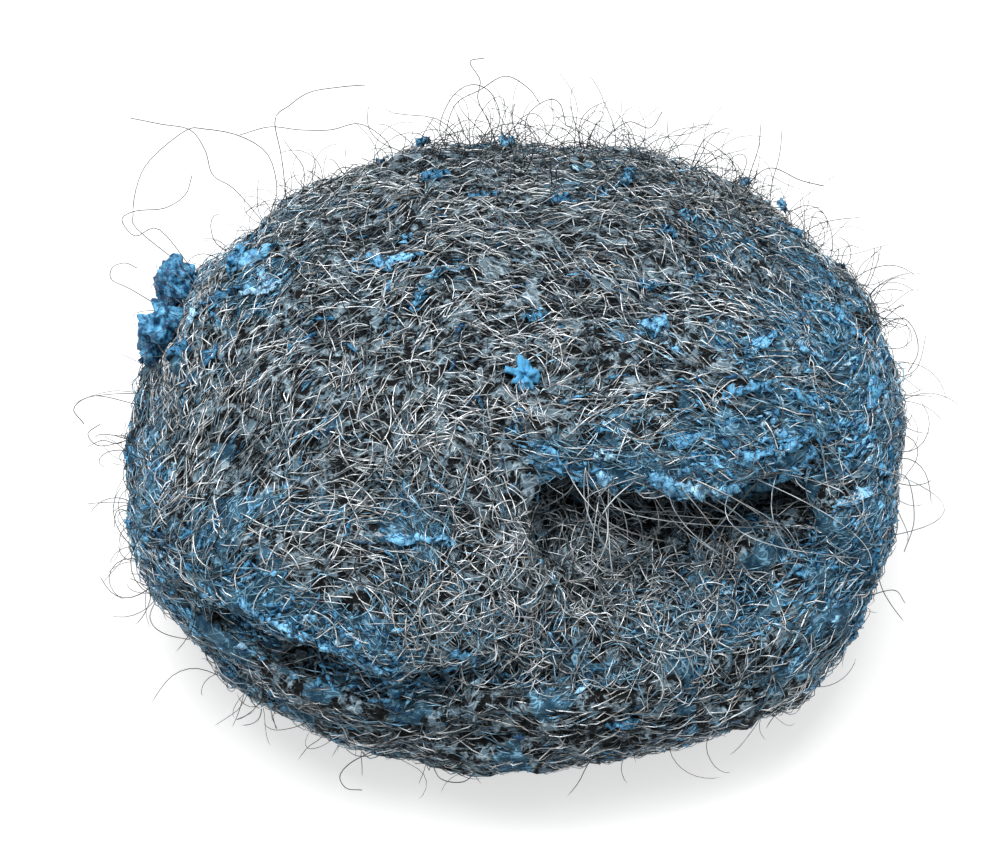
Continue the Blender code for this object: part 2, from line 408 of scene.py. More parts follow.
def strongest_line(lines, column):
    """The same for lines, with the distance to the nearest point of each straight stretch."""
    rows = np.array([
        (*start, *end, line[0], line[column])
        for line in lines for start, end in zip(line[3], line[3][1:])
    ], float)
    start, way = rows[:, :2], rows[:, 2:4] - rows[:, :2]
    offset = skin_pixels[:, None, :] - start[None]
    share = np.clip(np.sum(offset * way, axis=2) / np.sum(way * way, axis=1), 0, 1)
    gap = np.linalg.norm(offset - share[:, :, None] * way, axis=2)
    return (rows[:, 5] * np.exp(-((gap / rows[:, 4]) ** 2))).max(axis=1)


skin_pixels = seen_at(skin_points)[0]
facing = ease(-(smooth_normals @ VIEW_AWAY), 0.0, LEAST_FACING)
pressed = facing * (strongest_spot(RAISED_SPOTS) - strongest_line(SHADOW_LINES, 2))
pressed = pressed - facing * strongest_spot(SHADOW_SPOTS)
# This shadow is later painted into the shavings' tones as painted shade.
in_shadow = facing * np.maximum(strongest_line(SHADOW_LINES, 1), strongest_spot(SHADOW_SPOTS))
in_shadow = np.maximum(in_shadow, ease(crease, *CREASE_EASE))
deep_shadow = ease(in_shadow, *DEEP_EASE)
skin_points = skin_points + smooth_normals * (pressed * off_floor)[:, None]
skin_normals = vertex_normals(skin_points, skin_faces)
level = relaxed(skin_points, skin_faces, VALLEY_STEPS)
valley = dot(level - skin_points, smooth_normals)[:, 0]
print("valleys reach", round(float(valley.max()), 2), "mm below the level round them")

# %% [markdown]
# ## Finding the skin
#
# A shaving has to stay on the skin while it is laid, so every step asks where the skin is. A search
# for the nearest point would be slow for so many. A table is quicker: space is cut into small
# cubes, each cube holds the number of a skin point in it, and empty cubes take their neighbour's.

# %% Table of nearest skin points
CUBE = 0.8
CUBE_MARGIN = 8.0
CUBE_SPREAD = 9

table_corner = skin_points.min(axis=0) - CUBE_MARGIN
table_shape = np.ceil((skin_points.max(axis=0) + CUBE_MARGIN - table_corner) / CUBE).astype(int)


def cube_of(points):
    cube = ((points - table_corner) / CUBE).astype(int)
    return tuple(np.clip(cube, 0, table_shape - 1).T)


nearest_table = np.full(table_shape, -1, np.int32)
nearest_table[cube_of(skin_points)] = np.arange(len(skin_points))
for _ in range(CUBE_SPREAD):
    for axis in range(3):
        for way in (1, -1):
            neighbour = np.roll(nearest_table, way, axis)
            nearest_table = np.where(nearest_table < 0, neighbour, nearest_table)


def nearest_skin(points):
    return nearest_table[cube_of(points)]


print("cubes:", nearest_table.size, "empty:", int((nearest_table < 0).sum()))

# %% [markdown]
# ## The grain of the wool
#
# On a real pad the shavings run with the ribbon: round the rim, slanting over the belly, level over
# the back, and in loose curls where a fold has been pulled open. Each spot below names a place in
# the picture and says how the wool lies there. A skin point takes a blend of the spots near it,
# and a slow swirl turns whole locks of wool a little one way or the other.
# On the sides that the picture doesn't show, the shavings follow the turns round the rim.

# %% Spots of grain
# Each spot: pixel across, pixel down, reach in pixels, angle in the picture in degrees, how far
# shavings stray from it in degrees, and how tightly they curl, in radians per millimetre.
GRAIN_SPOTS = (
    (190, 480, 70, 62, 20, 0.05), (260, 420, 70, 50, 24, 0.06), (330, 470, 60, 42, 40, 0.12),
    (330, 390, 60, 42, 34, 0.1), (240, 290, 60, 45, 28, 0.1), (180, 330, 50, 68, 26, 0.1),
    (350, 230, 70, 24, 24, 0.1), (480, 185, 80, 6, 22, 0.1), (600, 180, 70, -6, 24, 0.12),
    (700, 220, 60, -24, 28, 0.12), (790, 280, 60, -48, 30, 0.12), (430, 290, 70, 12, 34, 0.1),
    (420, 400, 80, 38, 70, 0.2), (430, 480, 60, 20, 60, 0.25), (560, 300, 70, -4, 26, 0.08),
    (540, 400, 70, 14, 50, 0.14), (660, 350, 70, -10, 40, 0.12), (720, 420, 80, -12, 40, 0.14),
    (800, 400, 60, -30, 40, 0.14), (640, 515, 60, -6, 34, 0.1), (760, 510, 50, 6, 34, 0.1),
    (560, 560, 60, 20, 80, 0.45), (480, 600, 70, 0, 80, 0.4), (620, 630, 80, 40, 80, 0.55),
    (720, 600, 70, 60, 60, 0.35), (800, 600, 60, 62, 34, 0.15), (290, 550, 60, 60, 50, 0.2),
    (340, 610, 50, -40, 50, 0.2), (240, 600, 40, -50, 30, 0.1), (400, 640, 60, -20, 40, 0.2),
    (140, 560, 34, -64, 14, 0.04), (185, 618, 34, -48, 14, 0.04), (240, 664, 34, -36, 14, 0.04),
    (310, 700, 34, -24, 14, 0.04), (390, 728, 34, -12, 14, 0.04), (470, 738, 34, -3, 14, 0.05),
    (470, 700, 22, -4, 16, 0.08), (560, 736, 34, 3, 14, 0.05), (560, 704, 22, 2, 18, 0.08),
    (650, 718, 34, 12, 15, 0.05), (640, 688, 20, 10, 22, 0.1), (730, 690, 30, 24, 16, 0.05),
    (800, 645, 30, 42, 18, 0.06), (850, 590, 34, 60, 18, 0.06), (875, 520, 30, 72, 18, 0.06),
    (880, 440, 30, 82, 18, 0.06), (868, 370, 30, 100, 20, 0.06),
)

# %% Grain on the skin
RIM_EASE = (10.0, 15.0)
RIM_PIXELS = 6
SHOWN_EASE = (0.05, 0.3)
NEAR_EASE = (0.05, 0.4)
RIM_STRAY = 7.0
RIM_CURL = 0.05
SWIRL_SPACING = 5.0
SWIRL_SHARE = 3.2

skin_pixels, skin_depth = seen_at(skin_points)
towards_camera = -(skin_normals @ VIEW_AWAY)


def blend_spots(spots, columns):
    """Every skin point's weighted mean of some columns of the spots, and its highest weight."""
    spots = np.array(spots, float)
    weight = spot_weights(spots) + 1e-9
    return (weight @ spots[:, columns]) / weight.sum(axis=1, keepdims=True), weight.max(axis=1)


def along_rim(points, normals):
    """The direction level with the floor and square to the normal, anticlockwise from above."""
    outward = normals * (1, 1, 0.2) + 0.02 * points * (1, 1, 0)
    return unit(np.stack([-outward[:, 1], outward[:, 0], 0 * outward[:, 0]], axis=1))


def picture_direction(angles, normals):
    """The direction on the skin that shows at this angle in the picture: the picture's own
    direction, moved along the sight line until it is square to the normal."""
    turn = np.radians(angles)[:, None]
    flat = np.cos(turn) * VIEW_RIGHT + np.sin(turn) * VIEW_UP
    facing = np.minimum(normals @ VIEW_AWAY, -LEAST_FACING)[:, None]
    return unit(flat - dot(flat, normals) / facing * VIEW_AWAY)


# The line over the rim in the picture: pixels across and pixels down.
RIM_ACROSS = (
    125, 139, 152, 168, 194, 231, 257, 299, 330, 361, 414, 466, 534, 597, 660, 720, 780, 830, 870
)
RIM_DOWN = (
    470, 504, 540, 572, 598, 627, 645, 661, 676, 684, 688, 694, 697, 697, 690, 676, 650, 615, 575
)
SIDE_EASE = (29, 34)

spot_values, near_spot = blend_spots(GRAIN_SPOTS, [3, 4, 5])
shown = ease(towards_camera, *SHOWN_EASE) * ease(near_spot, *NEAR_EASE)
in_rim = 1 - ease(skin_points[:, 2], *RIM_EASE)
under_line = skin_pixels[:, 1] - np.interp(skin_pixels[:, 0], RIM_ACROSS, RIM_DOWN)
in_rim = np.maximum(in_rim, shown * ease(under_line, -RIM_PIXELS, RIM_PIXELS))
at_side = ease(np.abs(skin_points[:, 0]), *SIDE_EASE)
by_picture = shown * (1 - in_rim) * (1 - at_side)
stray = by_picture * spot_values[:, 1] + (1 - by_picture) * RIM_STRAY
curl = by_picture * spot_values[:, 2] + (1 - by_picture) * RIM_CURL
swirl = soft_noise(skin_points, SWIRL_SPACING, 23)
swirl = swirl + 0.6 * soft_noise(skin_points, SWIRL_SPACING / 2.2, 24) - 0.8
swirl = np.radians(stray * SWIRL_SHARE * swirl)[:, None]


def swirled(grain):
    """The grain turned on the skin by the swirl's angle, so that neighbours lie in one lock."""
    return unit(np.cos(swirl) * grain + np.sin(swirl) * np.cross(skin_normals, grain))


rim_grain = swirled(along_rim(skin_points, skin_normals))
spot_grain = swirled(picture_direction(spot_values[:, 0], skin_normals))
print("share of the skin with a grain from the picture:", round(float(by_picture.mean()), 2))

# %% [markdown]
# ## Where the soap is
#
# The soap was pressed into the ribbon wet and dried there as a film between the shavings. It is
# thick on the left end, on the flap's front edge and down the right side, and thin in the mouth.
# Spots in the picture give that, patchy noise breaks it up, and the hidden sides get the noise.

# %% Spots of soap
# Each spot: pixel across, pixel down, reach in pixels, and how much soap, from 0 to 1.
SOAP_SPOTS = (
    (165, 330, 42, 0.75), (140, 400, 34, 0.9), (135, 480, 34, 1.0), (150, 560, 30, 1.0),
    (215, 330, 26, 0.45), (250, 275, 30, 0.75), (190, 430, 40, 0.45), (230, 380, 40, 0.25),
    (330, 310, 36, 0.2), (395, 265, 34, 0.45), (450, 280, 36, 0.3), (480, 200, 44, 0.2),
    (560, 150, 40, 0.35), (630, 190, 40, 0.3), (700, 200, 40, 0.45), (745, 250, 40, 0.5),
    (690, 270, 36, 0.3), (600, 300, 44, 0.2), (655, 330, 30, 0.7), (740, 340, 36, 0.7),
    (800, 300, 40, 0.8), (840, 340, 34, 0.95), (790, 380, 44, 0.8), (850, 420, 34, 1.0),
    (885, 460, 34, 1.0), (880, 540, 34, 1.0), (850, 600, 34, 0.95), (800, 650, 34, 0.7),
    (893, 400, 30, 1.0), (870, 500, 30, 1.0), (820, 560, 30, 0.8), (700, 390, 40, 0.5),
    (640, 400, 34, 0.35), (552, 460, 18, 0.9), (575, 474, 18, 1.0), (606, 482, 18, 1.0),
    (600, 455, 16, 0.9), (628, 462, 20, 0.6), (650, 474, 20, 1.0), (680, 485, 22, 1.0),
    (712, 488, 22, 1.0), (742, 483, 22, 1.0), (772, 470, 22, 1.0), (800, 455, 22, 0.9),
    (700, 455, 30, 1.0), (740, 445, 30, 0.9), (560, 430, 28, 0.6), (600, 400, 28, 0.4),
    (520, 370, 30, 0.25), (470, 470, 30, 0.25), (420, 545, 20, 0.8), (330, 500, 34, 0.5),
    (290, 480, 34, 0.38), (340, 560, 22, 0.35), (200, 540, 30, 0.6), (225, 590, 26, 0.8),
    (270, 622, 24, 0.95), (320, 642, 24, 1.0), (370, 664, 24, 1.0), (420, 684, 22, 0.9),
    (470, 697, 22, 0.65), (450, 630, 34, 0.5), (520, 640, 34, 0.5), (700, 560, 34, 0.6),
    (760, 560, 34, 0.65), (820, 520, 30, 0.8), (640, 690, 34, 0.45), (560, 700, 34, 0.4),
    (650, 600, 34, 0.6), (720, 630, 34, 0.65), (780, 610, 34, 0.7), (590, 640, 30, 0.55),
    (720, 680, 34, 0.5), (190, 610, 26, 0.9), (235, 655, 26, 0.9), (290, 692, 28, 0.8),
    (360, 726, 28, 0.4), (460, 745, 30, 0.25), (600, 740, 30, 0.2), (770, 700, 30, 0.4),
    (380, 430, 40, 0.2), (300, 430, 44, 0.35), (430, 350, 44, 0.1), (650, 515, 50, 0.0),
    (520, 500, 30, 0.0), (380, 580, 26, 0.05), (570, 570, 40, 0.15), (480, 560, 30, 0.1),
    (260, 450, 40, 0.42), (350, 210, 40, 0.25), (290, 235, 34, 0.25), (780, 500, 18, 0.3),
)

# %% Soap on the skin
HIDDEN_SOAP = 0.5
SOAP_PATCH = 3.2
SOAP_EASE = (0.28, 0.68)
CRUST_PATCH = 1.8
CRUST_EASE = (0.72, 0.98)
CRUST_BREAKS = (0.25, 0.6)
HIDDEN_CRUST = 0.5
HIDDEN_CRUST_EASE = (0.6, 0.72)

spot_soap = blend_spots(SOAP_SPOTS, [3])[0]
soap_amount = shown * spot_soap[:, 0] + (1 - shown) * HIDDEN_SOAP
patches = 0.6 * soft_noise(skin_points, SOAP_PATCH, 21)
patches = patches + 0.4 * soft_noise(skin_points, SOAP_PATCH / 2.5, 22)
soap_here = ease(soap_amount * 0.75 + patches - 0.5, *SOAP_EASE) * (1 - deep_shadow)
hidden_crust = (1 - shown) * HIDDEN_CRUST * ease(patches, *HIDDEN_CRUST_EASE)
soap_crust = shown * ease(soap_amount, *CRUST_EASE) + hidden_crust
crust_breaks = ease(soft_noise(skin_points, CRUST_PATCH, 25), *CRUST_BREAKS)
soap_crust = soap_crust * (1 - deep_shadow) * crust_breaks
print("share of the skin under soap:", round(float(soap_here.mean()), 2))

# %% [markdown]
# ## Finish of the imported wool
#
# What shows between the shavings is more wool, deep in shadow; its near-black is painted shade.
# Thin light lines on black read as shavings further down, and a grey haze in patches reads as the
# ones too fine to see. Patches of painted light and painted shade make the lines bright in places
# and leave them dark in others. Each line is the middle level of a noise that is stretched along
# one direction, and four such noises, each turned by forty-five degrees, share the skin by its
# grain. Curls come from one more noise that isn't stretched. Where the skin carries soap, a blue
# film covers it and leaves gaps; the film is pale where painted light falls and deep blue in painted
# shade. The finish isn't metal and hardly shines, because bare reflections of a white sky would turn
# its gaps grey.

# %% Material helpers
def add_node(tree, kind, *sources, **settings):
    """A shader node. Its first sockets take the sources, each an output socket or a value. A
    setting is a property of the node, or else an input socket's value."""
    node = tree.nodes.new(kind)
    for key, value in settings.items():
        if hasattr(node, key):
            setattr(node, key, value)
        else:
            node.inputs[key].default_value = value
    for source, socket in zip(sources, node.inputs):
        if isinstance(source, bpy.types.NodeSocket):
            tree.links.new(source, socket)
        else:
            socket.default_value = source
    return node


def new_material(name, roughness, metallic, shine):
    """A material, its node tree and its shader. shine is the strength of a bare reflection."""
    material = bpy.data.materials.new(name)
    material.use_nodes = True
    shader = material.node_tree.nodes["Principled BSDF"]
    shader.inputs["Roughness"].default_value = roughness
    shader.inputs["Metallic"].default_value = metallic
    shader.inputs["Specular IOR Level"].default_value = shine
    return material, material.node_tree, shader


def add_ramp(tree, stops, source):
    """A colour ramp. Each stop is a place from 0 to 1 and a linear colour."""
    ramp = add_node(tree, "ShaderNodeValToRGB", source)
    marks = ramp.color_ramp.elements
    while len(marks) < len(stops):
        marks.new(0.5)
    for mark, (place, colour) in zip(marks, stops):
        mark.position = place
        mark.color = (*colour, 1.0)
    return ramp.outputs["Color"]


def add_mix(tree, factor, first, second):
    """A colour mix. factor is a socket, and each colour is a socket or a linear colour."""
    mix = add_node(tree, "ShaderNodeMix", factor, data_type="RGBA")
    for value, socket in ((first, mix.inputs[6]), (second, mix.inputs[7])):
        if isinstance(value, tuple):
            socket.default_value = (*value, 1.0)
        else:
            tree.links.new(value, socket)
    return mix.outputs[2]


def add_math(tree, operation, first, second):
    return add_node(tree, "ShaderNodeMath", first, second, operation=operation).outputs[0]


def multiplied(tree, first, second):
    """The product of two colours."""
    product = add_node(tree, "ShaderNodeVectorMath", first, second, operation="MULTIPLY")
    return product.outputs[0]


def add_noise(tree, place, scale, detail, roughness=0.5):
    noise = add_node(
        tree, "ShaderNodeTexNoise", place, Scale=scale, Detail=detail, Roughness=roughness
    )
    return noise.outputs["Fac"]


def object_place(tree):
    return tree.nodes.new("ShaderNodeTexCoord").outputs["Object"]


def add_bump(tree, shader, height, distance, strength):
    bump = add_node(tree, "ShaderNodeBump", Strength=strength, Distance=distance * MM)
    tree.links.new(height, bump.inputs["Height"])
    tree.links.new(bump.outputs["Normal"], shader.inputs["Normal"])


# %% The wool body's finish
# The near-black gap colour is painted shade, and the dark film colour is the film in painted shade.
BODY_SHADE_BLACK = (0.002, 0.0025, 0.003)
BODY_HAZE = (0.10, 0.155, 0.195)
BODY_LINE = (0.32, 0.42, 0.48)
BODY_FILM = (0.20, 0.42, 0.58)
BODY_FILM_SHADED = (0.012, 0.045, 0.08)
BODY_SHINE = 0.08
LINE_TURNS = (0, 45, 90, 135)
LINE_SCALE = 1600.0
LINE_STRETCH = 10.0
CURL_SCALE = 1050.0
GRAIN_SCALE = 750.0
FILM_LEAST = 0.22
LINE_SHARPNESS = 10


def lines_along(tree, coordinates, turn, stretch, scale):
    """Thin lines at this turn about the upright axis: where a stretched noise is near its middle.
    With no stretch they are loops."""
    mapping = add_node(
        tree, "ShaderNodeMapping", coordinates, vector_type="TEXTURE",
        Rotation=(0, 0, math.radians(turn)), Scale=(stretch, 1, 1),
    )
    return add_ramp(tree, [
        (0.44, (0, 0, 0)), (0.47, (1, 1, 1)), (0.51, (1, 1, 1)), (0.54, (0, 0, 0)),
    ], add_noise(tree, mapping.outputs[0], scale, 0.0))


def read_attribute(tree, name):
    attribute = tree.nodes.new("ShaderNodeAttribute")
    attribute.attribute_name = name
    return attribute.outputs["Fac"]


def wool_body_finish():
    material, tree, shader = new_material("packed_wool", 0.6, 0.0, BODY_SHINE)
    coordinates = object_place(tree)
    lines = None
    for turn in LINE_TURNS:
        own = lines_along(tree, coordinates, turn, LINE_STRETCH, LINE_SCALE)
        own = add_math(tree, "MULTIPLY", own, read_attribute(tree, f"lie_{turn}"))
        lines = own if lines is None else add_math(tree, "ADD", lines, own)
    lines = add_math(tree, "MAXIMUM", lines, lines_along(tree, coordinates, 0, 1, CURL_SCALE))
    grain = add_noise(tree, coordinates, GRAIN_SCALE, 4.0, 0.65)
    # Painted light and shade in patches: where the grain noise is high, the lines and film are lit.
    painted_light = add_ramp(tree, [(0.42, (0.02, 0.02, 0.02)), (0.60, (1, 1, 1))], grain)
    haze = add_ramp(tree, [(0.51, (0, 0, 0)), (0.55, (1, 1, 1))], grain)
    gaps = add_mix(tree, haze, BODY_SHADE_BLACK, BODY_HAZE)
    wool = add_mix(tree, add_math(tree, "MULTIPLY", lines, painted_light), gaps, BODY_LINE)
    cover = add_math(tree, "ADD", read_attribute(tree, "soap"), grain)
    cover = add_ramp(tree, [(0.88, (0, 0, 0)), (1.00, (1, 1, 1))], cover)
    film = add_math(tree, "MULTIPLY", painted_light, add_math(tree, "MAXIMUM", lines, FILM_LEAST))
    film = add_mix(tree, film, BODY_FILM_SHADED, BODY_FILM)
    tree.links.new(add_mix(tree, cover, wool, film), shader.inputs["Base Color"])
    add_bump(tree, shader, lines, 0.12, 0.7)
    return material


# %% The wool body in its finish
def set_attribute(mesh, name, values):
    layer = mesh.attributes.new(name, "FLOAT", "POINT")
    layer.data.foreach_set("value", values.astype(np.float32))


def stand_in(mesh, points, name, node_name, material):
    """A fine copy with its points moved and its finish on, in the place of its node."""
    mesh.vertices.foreach_set("co", (points * MM).astype(np.float32).ravel())
    mesh.update()
    mesh.shade_smooth()
    mesh.materials.clear()
    mesh.materials.append(material)
    piece = put_in_scene(name, mesh)
    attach(piece, "root")
    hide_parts(node_name)
    return piece


grain_here = np.where(by_picture[:, None] > 0.5, spot_grain, rim_grain)
turns = np.radians(LINE_TURNS)
ways = np.stack([np.cos(turns), np.sin(turns), 0 * turns], axis=1)
lie = np.abs(grain_here @ ways.T) ** LINE_SHARPNESS
lie = lie / lie.sum(axis=1, keepdims=True)
for number, turn in enumerate(LINE_TURNS):
    set_attribute(skin_mesh, f"lie_{turn}", lie[:, number])
set_attribute(skin_mesh, "soap", soap_here)
wool_body = stand_in(
    skin_mesh, skin_points, "wool_body", WOOL_NODE, wool_body_finish()
)
print("wool body material:", wool_body.data.materials[0].name)

# %% [markdown]
# ## Laying the shavings
#
# All shavings of a kind are laid at the same time, one step for all of them and then the next. Each
# starts at a random place on the skin, near the grain's direction but not quite. At each step it
# moves on, is drawn a little towards the grain, bends by its own curl, and is pulled back onto the
# skin, relaxed a little so that shavings bridge the smallest dips. Afterwards it gets a height over
# the skin that rises and sinks along it, with both ends low, so that shavings pass over and under
# each other.

# %% Ground to walk on
SHAVING_RADIUS = 0.056
LEAST_HEIGHT = 0.35
GROUND_STEPS = 8
LEAST_CURL = 0.10
START_SPREAD = 0.4
BEND_KEPT = 0.9
BEND_FRESH = 0.3
WAVES = (0.7, 2.0)

ground_points = relaxed(skin_points, skin_faces, GROUND_STEPS)
ground_normals = vertex_normals(ground_points, skin_faces)
corner_a, corner_b, corner_c = (skin_points[skin_faces[:, k]] for k in range(3))
face_areas = np.linalg.norm(np.cross(corner_b - corner_a, corner_c - corner_a), axis=1) / 2


print("skin area in square centimetres:", round(float(face_areas.sum()) / 100, 1))


# %% Walk over the skin
def starting_points(rng, count, weight):
    """Skin points picked with a chance of area times weight."""
    chance = face_areas * weight[skin_faces].mean(axis=1)
    faces = rng.choice(len(skin_faces), size=count, p=chance / chance.sum())
    return skin_faces[faces, rng.integers(0, 3, count)]


def walk(rng, starts, steps, stride, pull, stray_scale=0.6):
    """Paths over the skin. The heading is the old one plus pull times the grain, turned by a bend
    that changes slowly, and laid flat on the skin. Gives each path's points and skin normals."""
    count = len(starts)
    where = starts
    side = rng.choice([-1.0, 1.0], count)[:, None]
    follows_picture = (rng.random(count) < by_picture[where])[:, None]

    def grain_at(where):
        return side * np.where(follows_picture, spot_grain[where], rim_grain[where])

    grain = grain_at(where)
    off = np.radians(stray[where] * stray_scale) * rng.standard_normal(count)
    normal = ground_normals[where]
    heading = unit(np.cos(off)[:, None] * grain + np.sin(off)[:, None] * np.cross(normal, grain))
    bend = rng.standard_normal(count) * (curl[where] + LEAST_CURL)
    point = ground_points[where] + rng.uniform(-START_SPREAD, START_SPREAD, (count, 3))
    paths, normals = [point], [normal]
    for _ in range(steps - 1):
        grain = grain_at(where)
        heading = heading + pull * np.sign(dot(heading, grain)) * grain
        turn = (bend * stride)[:, None]
        heading = heading * np.cos(turn) + np.cross(normal, heading) * np.sin(turn)
        heading = unit(heading - dot(heading, normal) * normal)
        point = point + stride * heading
        where = nearest_skin(point)
        fresh = ground_normals[where]
        point = point - dot(point - ground_points[where], fresh) * fresh
        normal = unit(0.5 * normal + 0.5 * fresh)
        bend = BEND_KEPT * bend + BEND_FRESH * curl[where] * rng.standard_normal(count)
        paths.append(point)
        normals.append(normal)
    return np.stack(paths, axis=1), np.stack(normals, axis=1)


# %% Heights over the skin
def ride_height(rng, count, steps, low, high, wave, tuck):
    """Heights over the skin: a height of its own for each path, a wave along it, and a tuck that
    grows as the fourth power of the distance from the middle."""
    along = np.linspace(-1, 1, steps)[None, :]
    own = rng.uniform(low, high, count)[:, None]
    phase = rng.uniform(0, 2 * math.pi, count)[:, None]
    waves = rng.uniform(*WAVES, count)[:, None]
    return own + wave * np.sin(phase + waves * math.pi * along) - tuck * along**4


def keep_off_floor(points):
    """Points no lower than LEAST_HEIGHT over the floor."""
    points[..., 2] = np.maximum(points[..., 2], LEAST_HEIGHT)
    return points


def lay_paths(rng, count, weight, steps, stride, pull, heights, wave, tuck, **walking):
    """Paths over the skin with their starts, normals and heights. heights are the lowest and
    highest ride."""
    starts = starting_points(rng, count, weight)
    paths, normals = walk(rng, starts, steps, stride, pull, **walking)
    height = ride_height(rng, count, steps, *heights, wave, tuck)
    return keep_off_floor(paths + normals * height[..., None]), starts, normals, height


# %% [markdown]
# ## Finish of the shavings
#
# Each shaving is a sliver of bright steel. A fully metal finish would mirror the white sky all
# over, so this one is half metal and takes the rest from its colour. Some shavings have dulled and
# some caught soap. Those that ride low over the skin, and those in creases and shadow, are painted
# darker, as painted shade. Along each sliver a painted glint brightens it for a millimetre or two,
# and then it goes dark. The map along the shavings carries tone and glint: a sheet of narrow strips,
# one strip for each tone. Bare tones run from dull to bright, the darkest partly painted shade, and
# soap-coated ones lie above them.

# %% Steel finish
TONES = 24
BARE_TONES = 0.79
# The darkest tone serves both dull steel and painted shade.
DULL_AND_SHADED = (0.012, 0.014, 0.016)
DARK_GREY = (0.055, 0.075, 0.09)
GREY = (0.25, 0.31, 0.35)
WARM = (0.56, 0.53, 0.49)
SILVER = (0.74, 0.83, 0.89)
BRIGHT = (0.97, 0.99, 1.0)
COATED_DARK = (0.10, 0.23, 0.33)
COATED_PALE = (0.34, 0.60, 0.78)
STEEL_SHINE = 0.2
GLINT_ALONG = 5.0
GLINT_ACROSS = 90.0


def piece_map(tree):
    """A piece's map, and its part that runs over the strips of tone."""
    place = add_node(tree, "ShaderNodeUVMap", uv_map="OFBake").outputs["UV"]
    return place, add_node(tree, "ShaderNodeSeparateXYZ", place).outputs["X"]


def steel_finish():
    material, tree, shader = new_material("steel_shavings", 0.32, 0.5, STEEL_SHINE)
    place, tone = piece_map(tree)
    tone = add_ramp(tree, [
        (0.00, DULL_AND_SHADED), (0.12, DARK_GREY), (0.28, GREY), (0.38, WARM), (0.43, SILVER),
        (0.76, BRIGHT), (0.81, COATED_DARK), (1.00, COATED_PALE),
    ], tone)
    # A painted glint: noise along each sliver's strip lights its colour for a millimetre or two and
    # dims it between.
    spread = add_node(tree, "ShaderNodeMapping", place, Scale=(GLINT_ACROSS, GLINT_ALONG, 1))
    painted_glint = add_ramp(tree, [
        (0.36, (0.12, 0.13, 0.14)), (0.48, (0.60, 0.60, 0.60)), (0.58, (1, 1, 1)),
    ], add_noise(tree, spread.outputs[0], 1.0, 1.0))
    tree.links.new(multiplied(tree, tone, painted_glint), shader.inputs["Base Color"])
    return material


steel = steel_finish()
print("strips of tone:", TONES)

# %% Strips of tone, and pieces
FLOOR_GAP = 0.03


def strip_map(flat_map, tones):
    """Moves each tube's map into the strip of its tone, an array of values from 0 to 1."""
    strip = np.floor(np.clip(tones, 0, 0.999) * TONES)[:, None, None]
    moved = flat_map.copy()
    moved[..., 0] = (strip + 0.1 + 0.8 * flat_map[..., 0]) / TONES
    return moved


def new_piece(name, shape, tones, material):
    """A mesh object from tubes: points in millimetres, triangles and map. No point lies under the
    floor."""
    points, triangles, flat_map = shape
    triangles = triangles.reshape(-1, 3)
    points = np.maximum(points, (-np.inf, -np.inf, FLOOR_GAP))
    corner_map = strip_map(flat_map, tones)
    mesh = bpy.data.meshes.new(name)
    mesh.vertices.add(len(points))
    mesh.vertices.foreach_set("co", (points * MM).astype(np.float32).ravel())
    mesh.loops.add(triangles.size)
    mesh.loops.foreach_set("vertex_index", triangles.astype(np.int32).ravel())
    mesh.polygons.add(len(triangles))
    mesh.polygons.foreach_set("loop_start", np.arange(0, triangles.size, 3, dtype=np.int32))
    layer = mesh.uv_layers.new(name="OFBake")
    layer.data.foreach_set("uv", corner_map.astype(np.float32).ravel())
    mesh.update(calc_edges=True)
    mesh.shade_smooth()
    mesh.materials.append(material)
    piece = put_in_scene(name, mesh)
    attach(piece, "root")
    print(name, "has", len(triangles), "triangles")


print("a strip of tone is", round(1 / TONES, 3), "of the map wide")

# %% One layer of shavings
VALLEY_RANGE = (0.10, 0.45)
COATED_SHARE = 0.75
SHAVING_WAVE = 0.28
SHAVING_TUCK = 0.45
TONE_BY_HEIGHT = 0.85
TONE_SPREAD = (-0.36, 0.58)


def lay_shavings(name, seed, count, weight, steps, stride, pull, heights):
    """One piece of loose shavings over the skin."""
    rng = np.random.default_rng(seed)
    paths, starts, normals, height = lay_paths(
        rng, count, weight, steps, stride, pull, heights, SHAVING_WAVE, SHAVING_TUCK
    )
    taper = 1 - 0.45 * np.abs(np.linspace(-1, 1, steps)) ** 3
    radius = SHAVING_RADIUS * rng.uniform(0.75, 1.3, count)[:, None] * taper[None, :]
    roll = rng.uniform(0, 2 * math.pi, count)
    # Lower shavings, and those in valleys and shadow, are painted darker: painted shade over a
    # random tone.
    depth = np.clip((height.mean(axis=1) - heights[0]) / (heights[1] - heights[0]), 0, 1)
    painted_shade = np.maximum(ease(valley[starts], *VALLEY_RANGE), in_shadow[starts])
    tones = TONE_BY_HEIGHT * depth + rng.uniform(*TONE_SPREAD, count)
    tones = BARE_TONES * np.clip(tones * (1 - 0.7 * painted_shade), 0, 1)
    coated = rng.random(count) < COATED_SHARE * soap_here[starts] * (1 - painted_shade)
    tones = np.where(coated, rng.uniform(BARE_TONES + 0.02, 1.0, count), tones)
    new_piece(name, sliver_shape(paths, normals, radius, roll), tones, steel)


print("a shaving is about", round(2 * SHAVING_RADIUS, 2), "mm thick")

# %% [markdown]
# ## Three kinds of shavings
#
# Combed ones run in the rim and down the sides. Wavy ones cover the top. Tight curls fill the
# cheek under the mouth. They start in clumps, which leaves dark gaps between the locks, and few
# start in the creases. The underside shows to no one and gets few.

# %% Layers of shavings
CLUMP_SPACING = 1.5

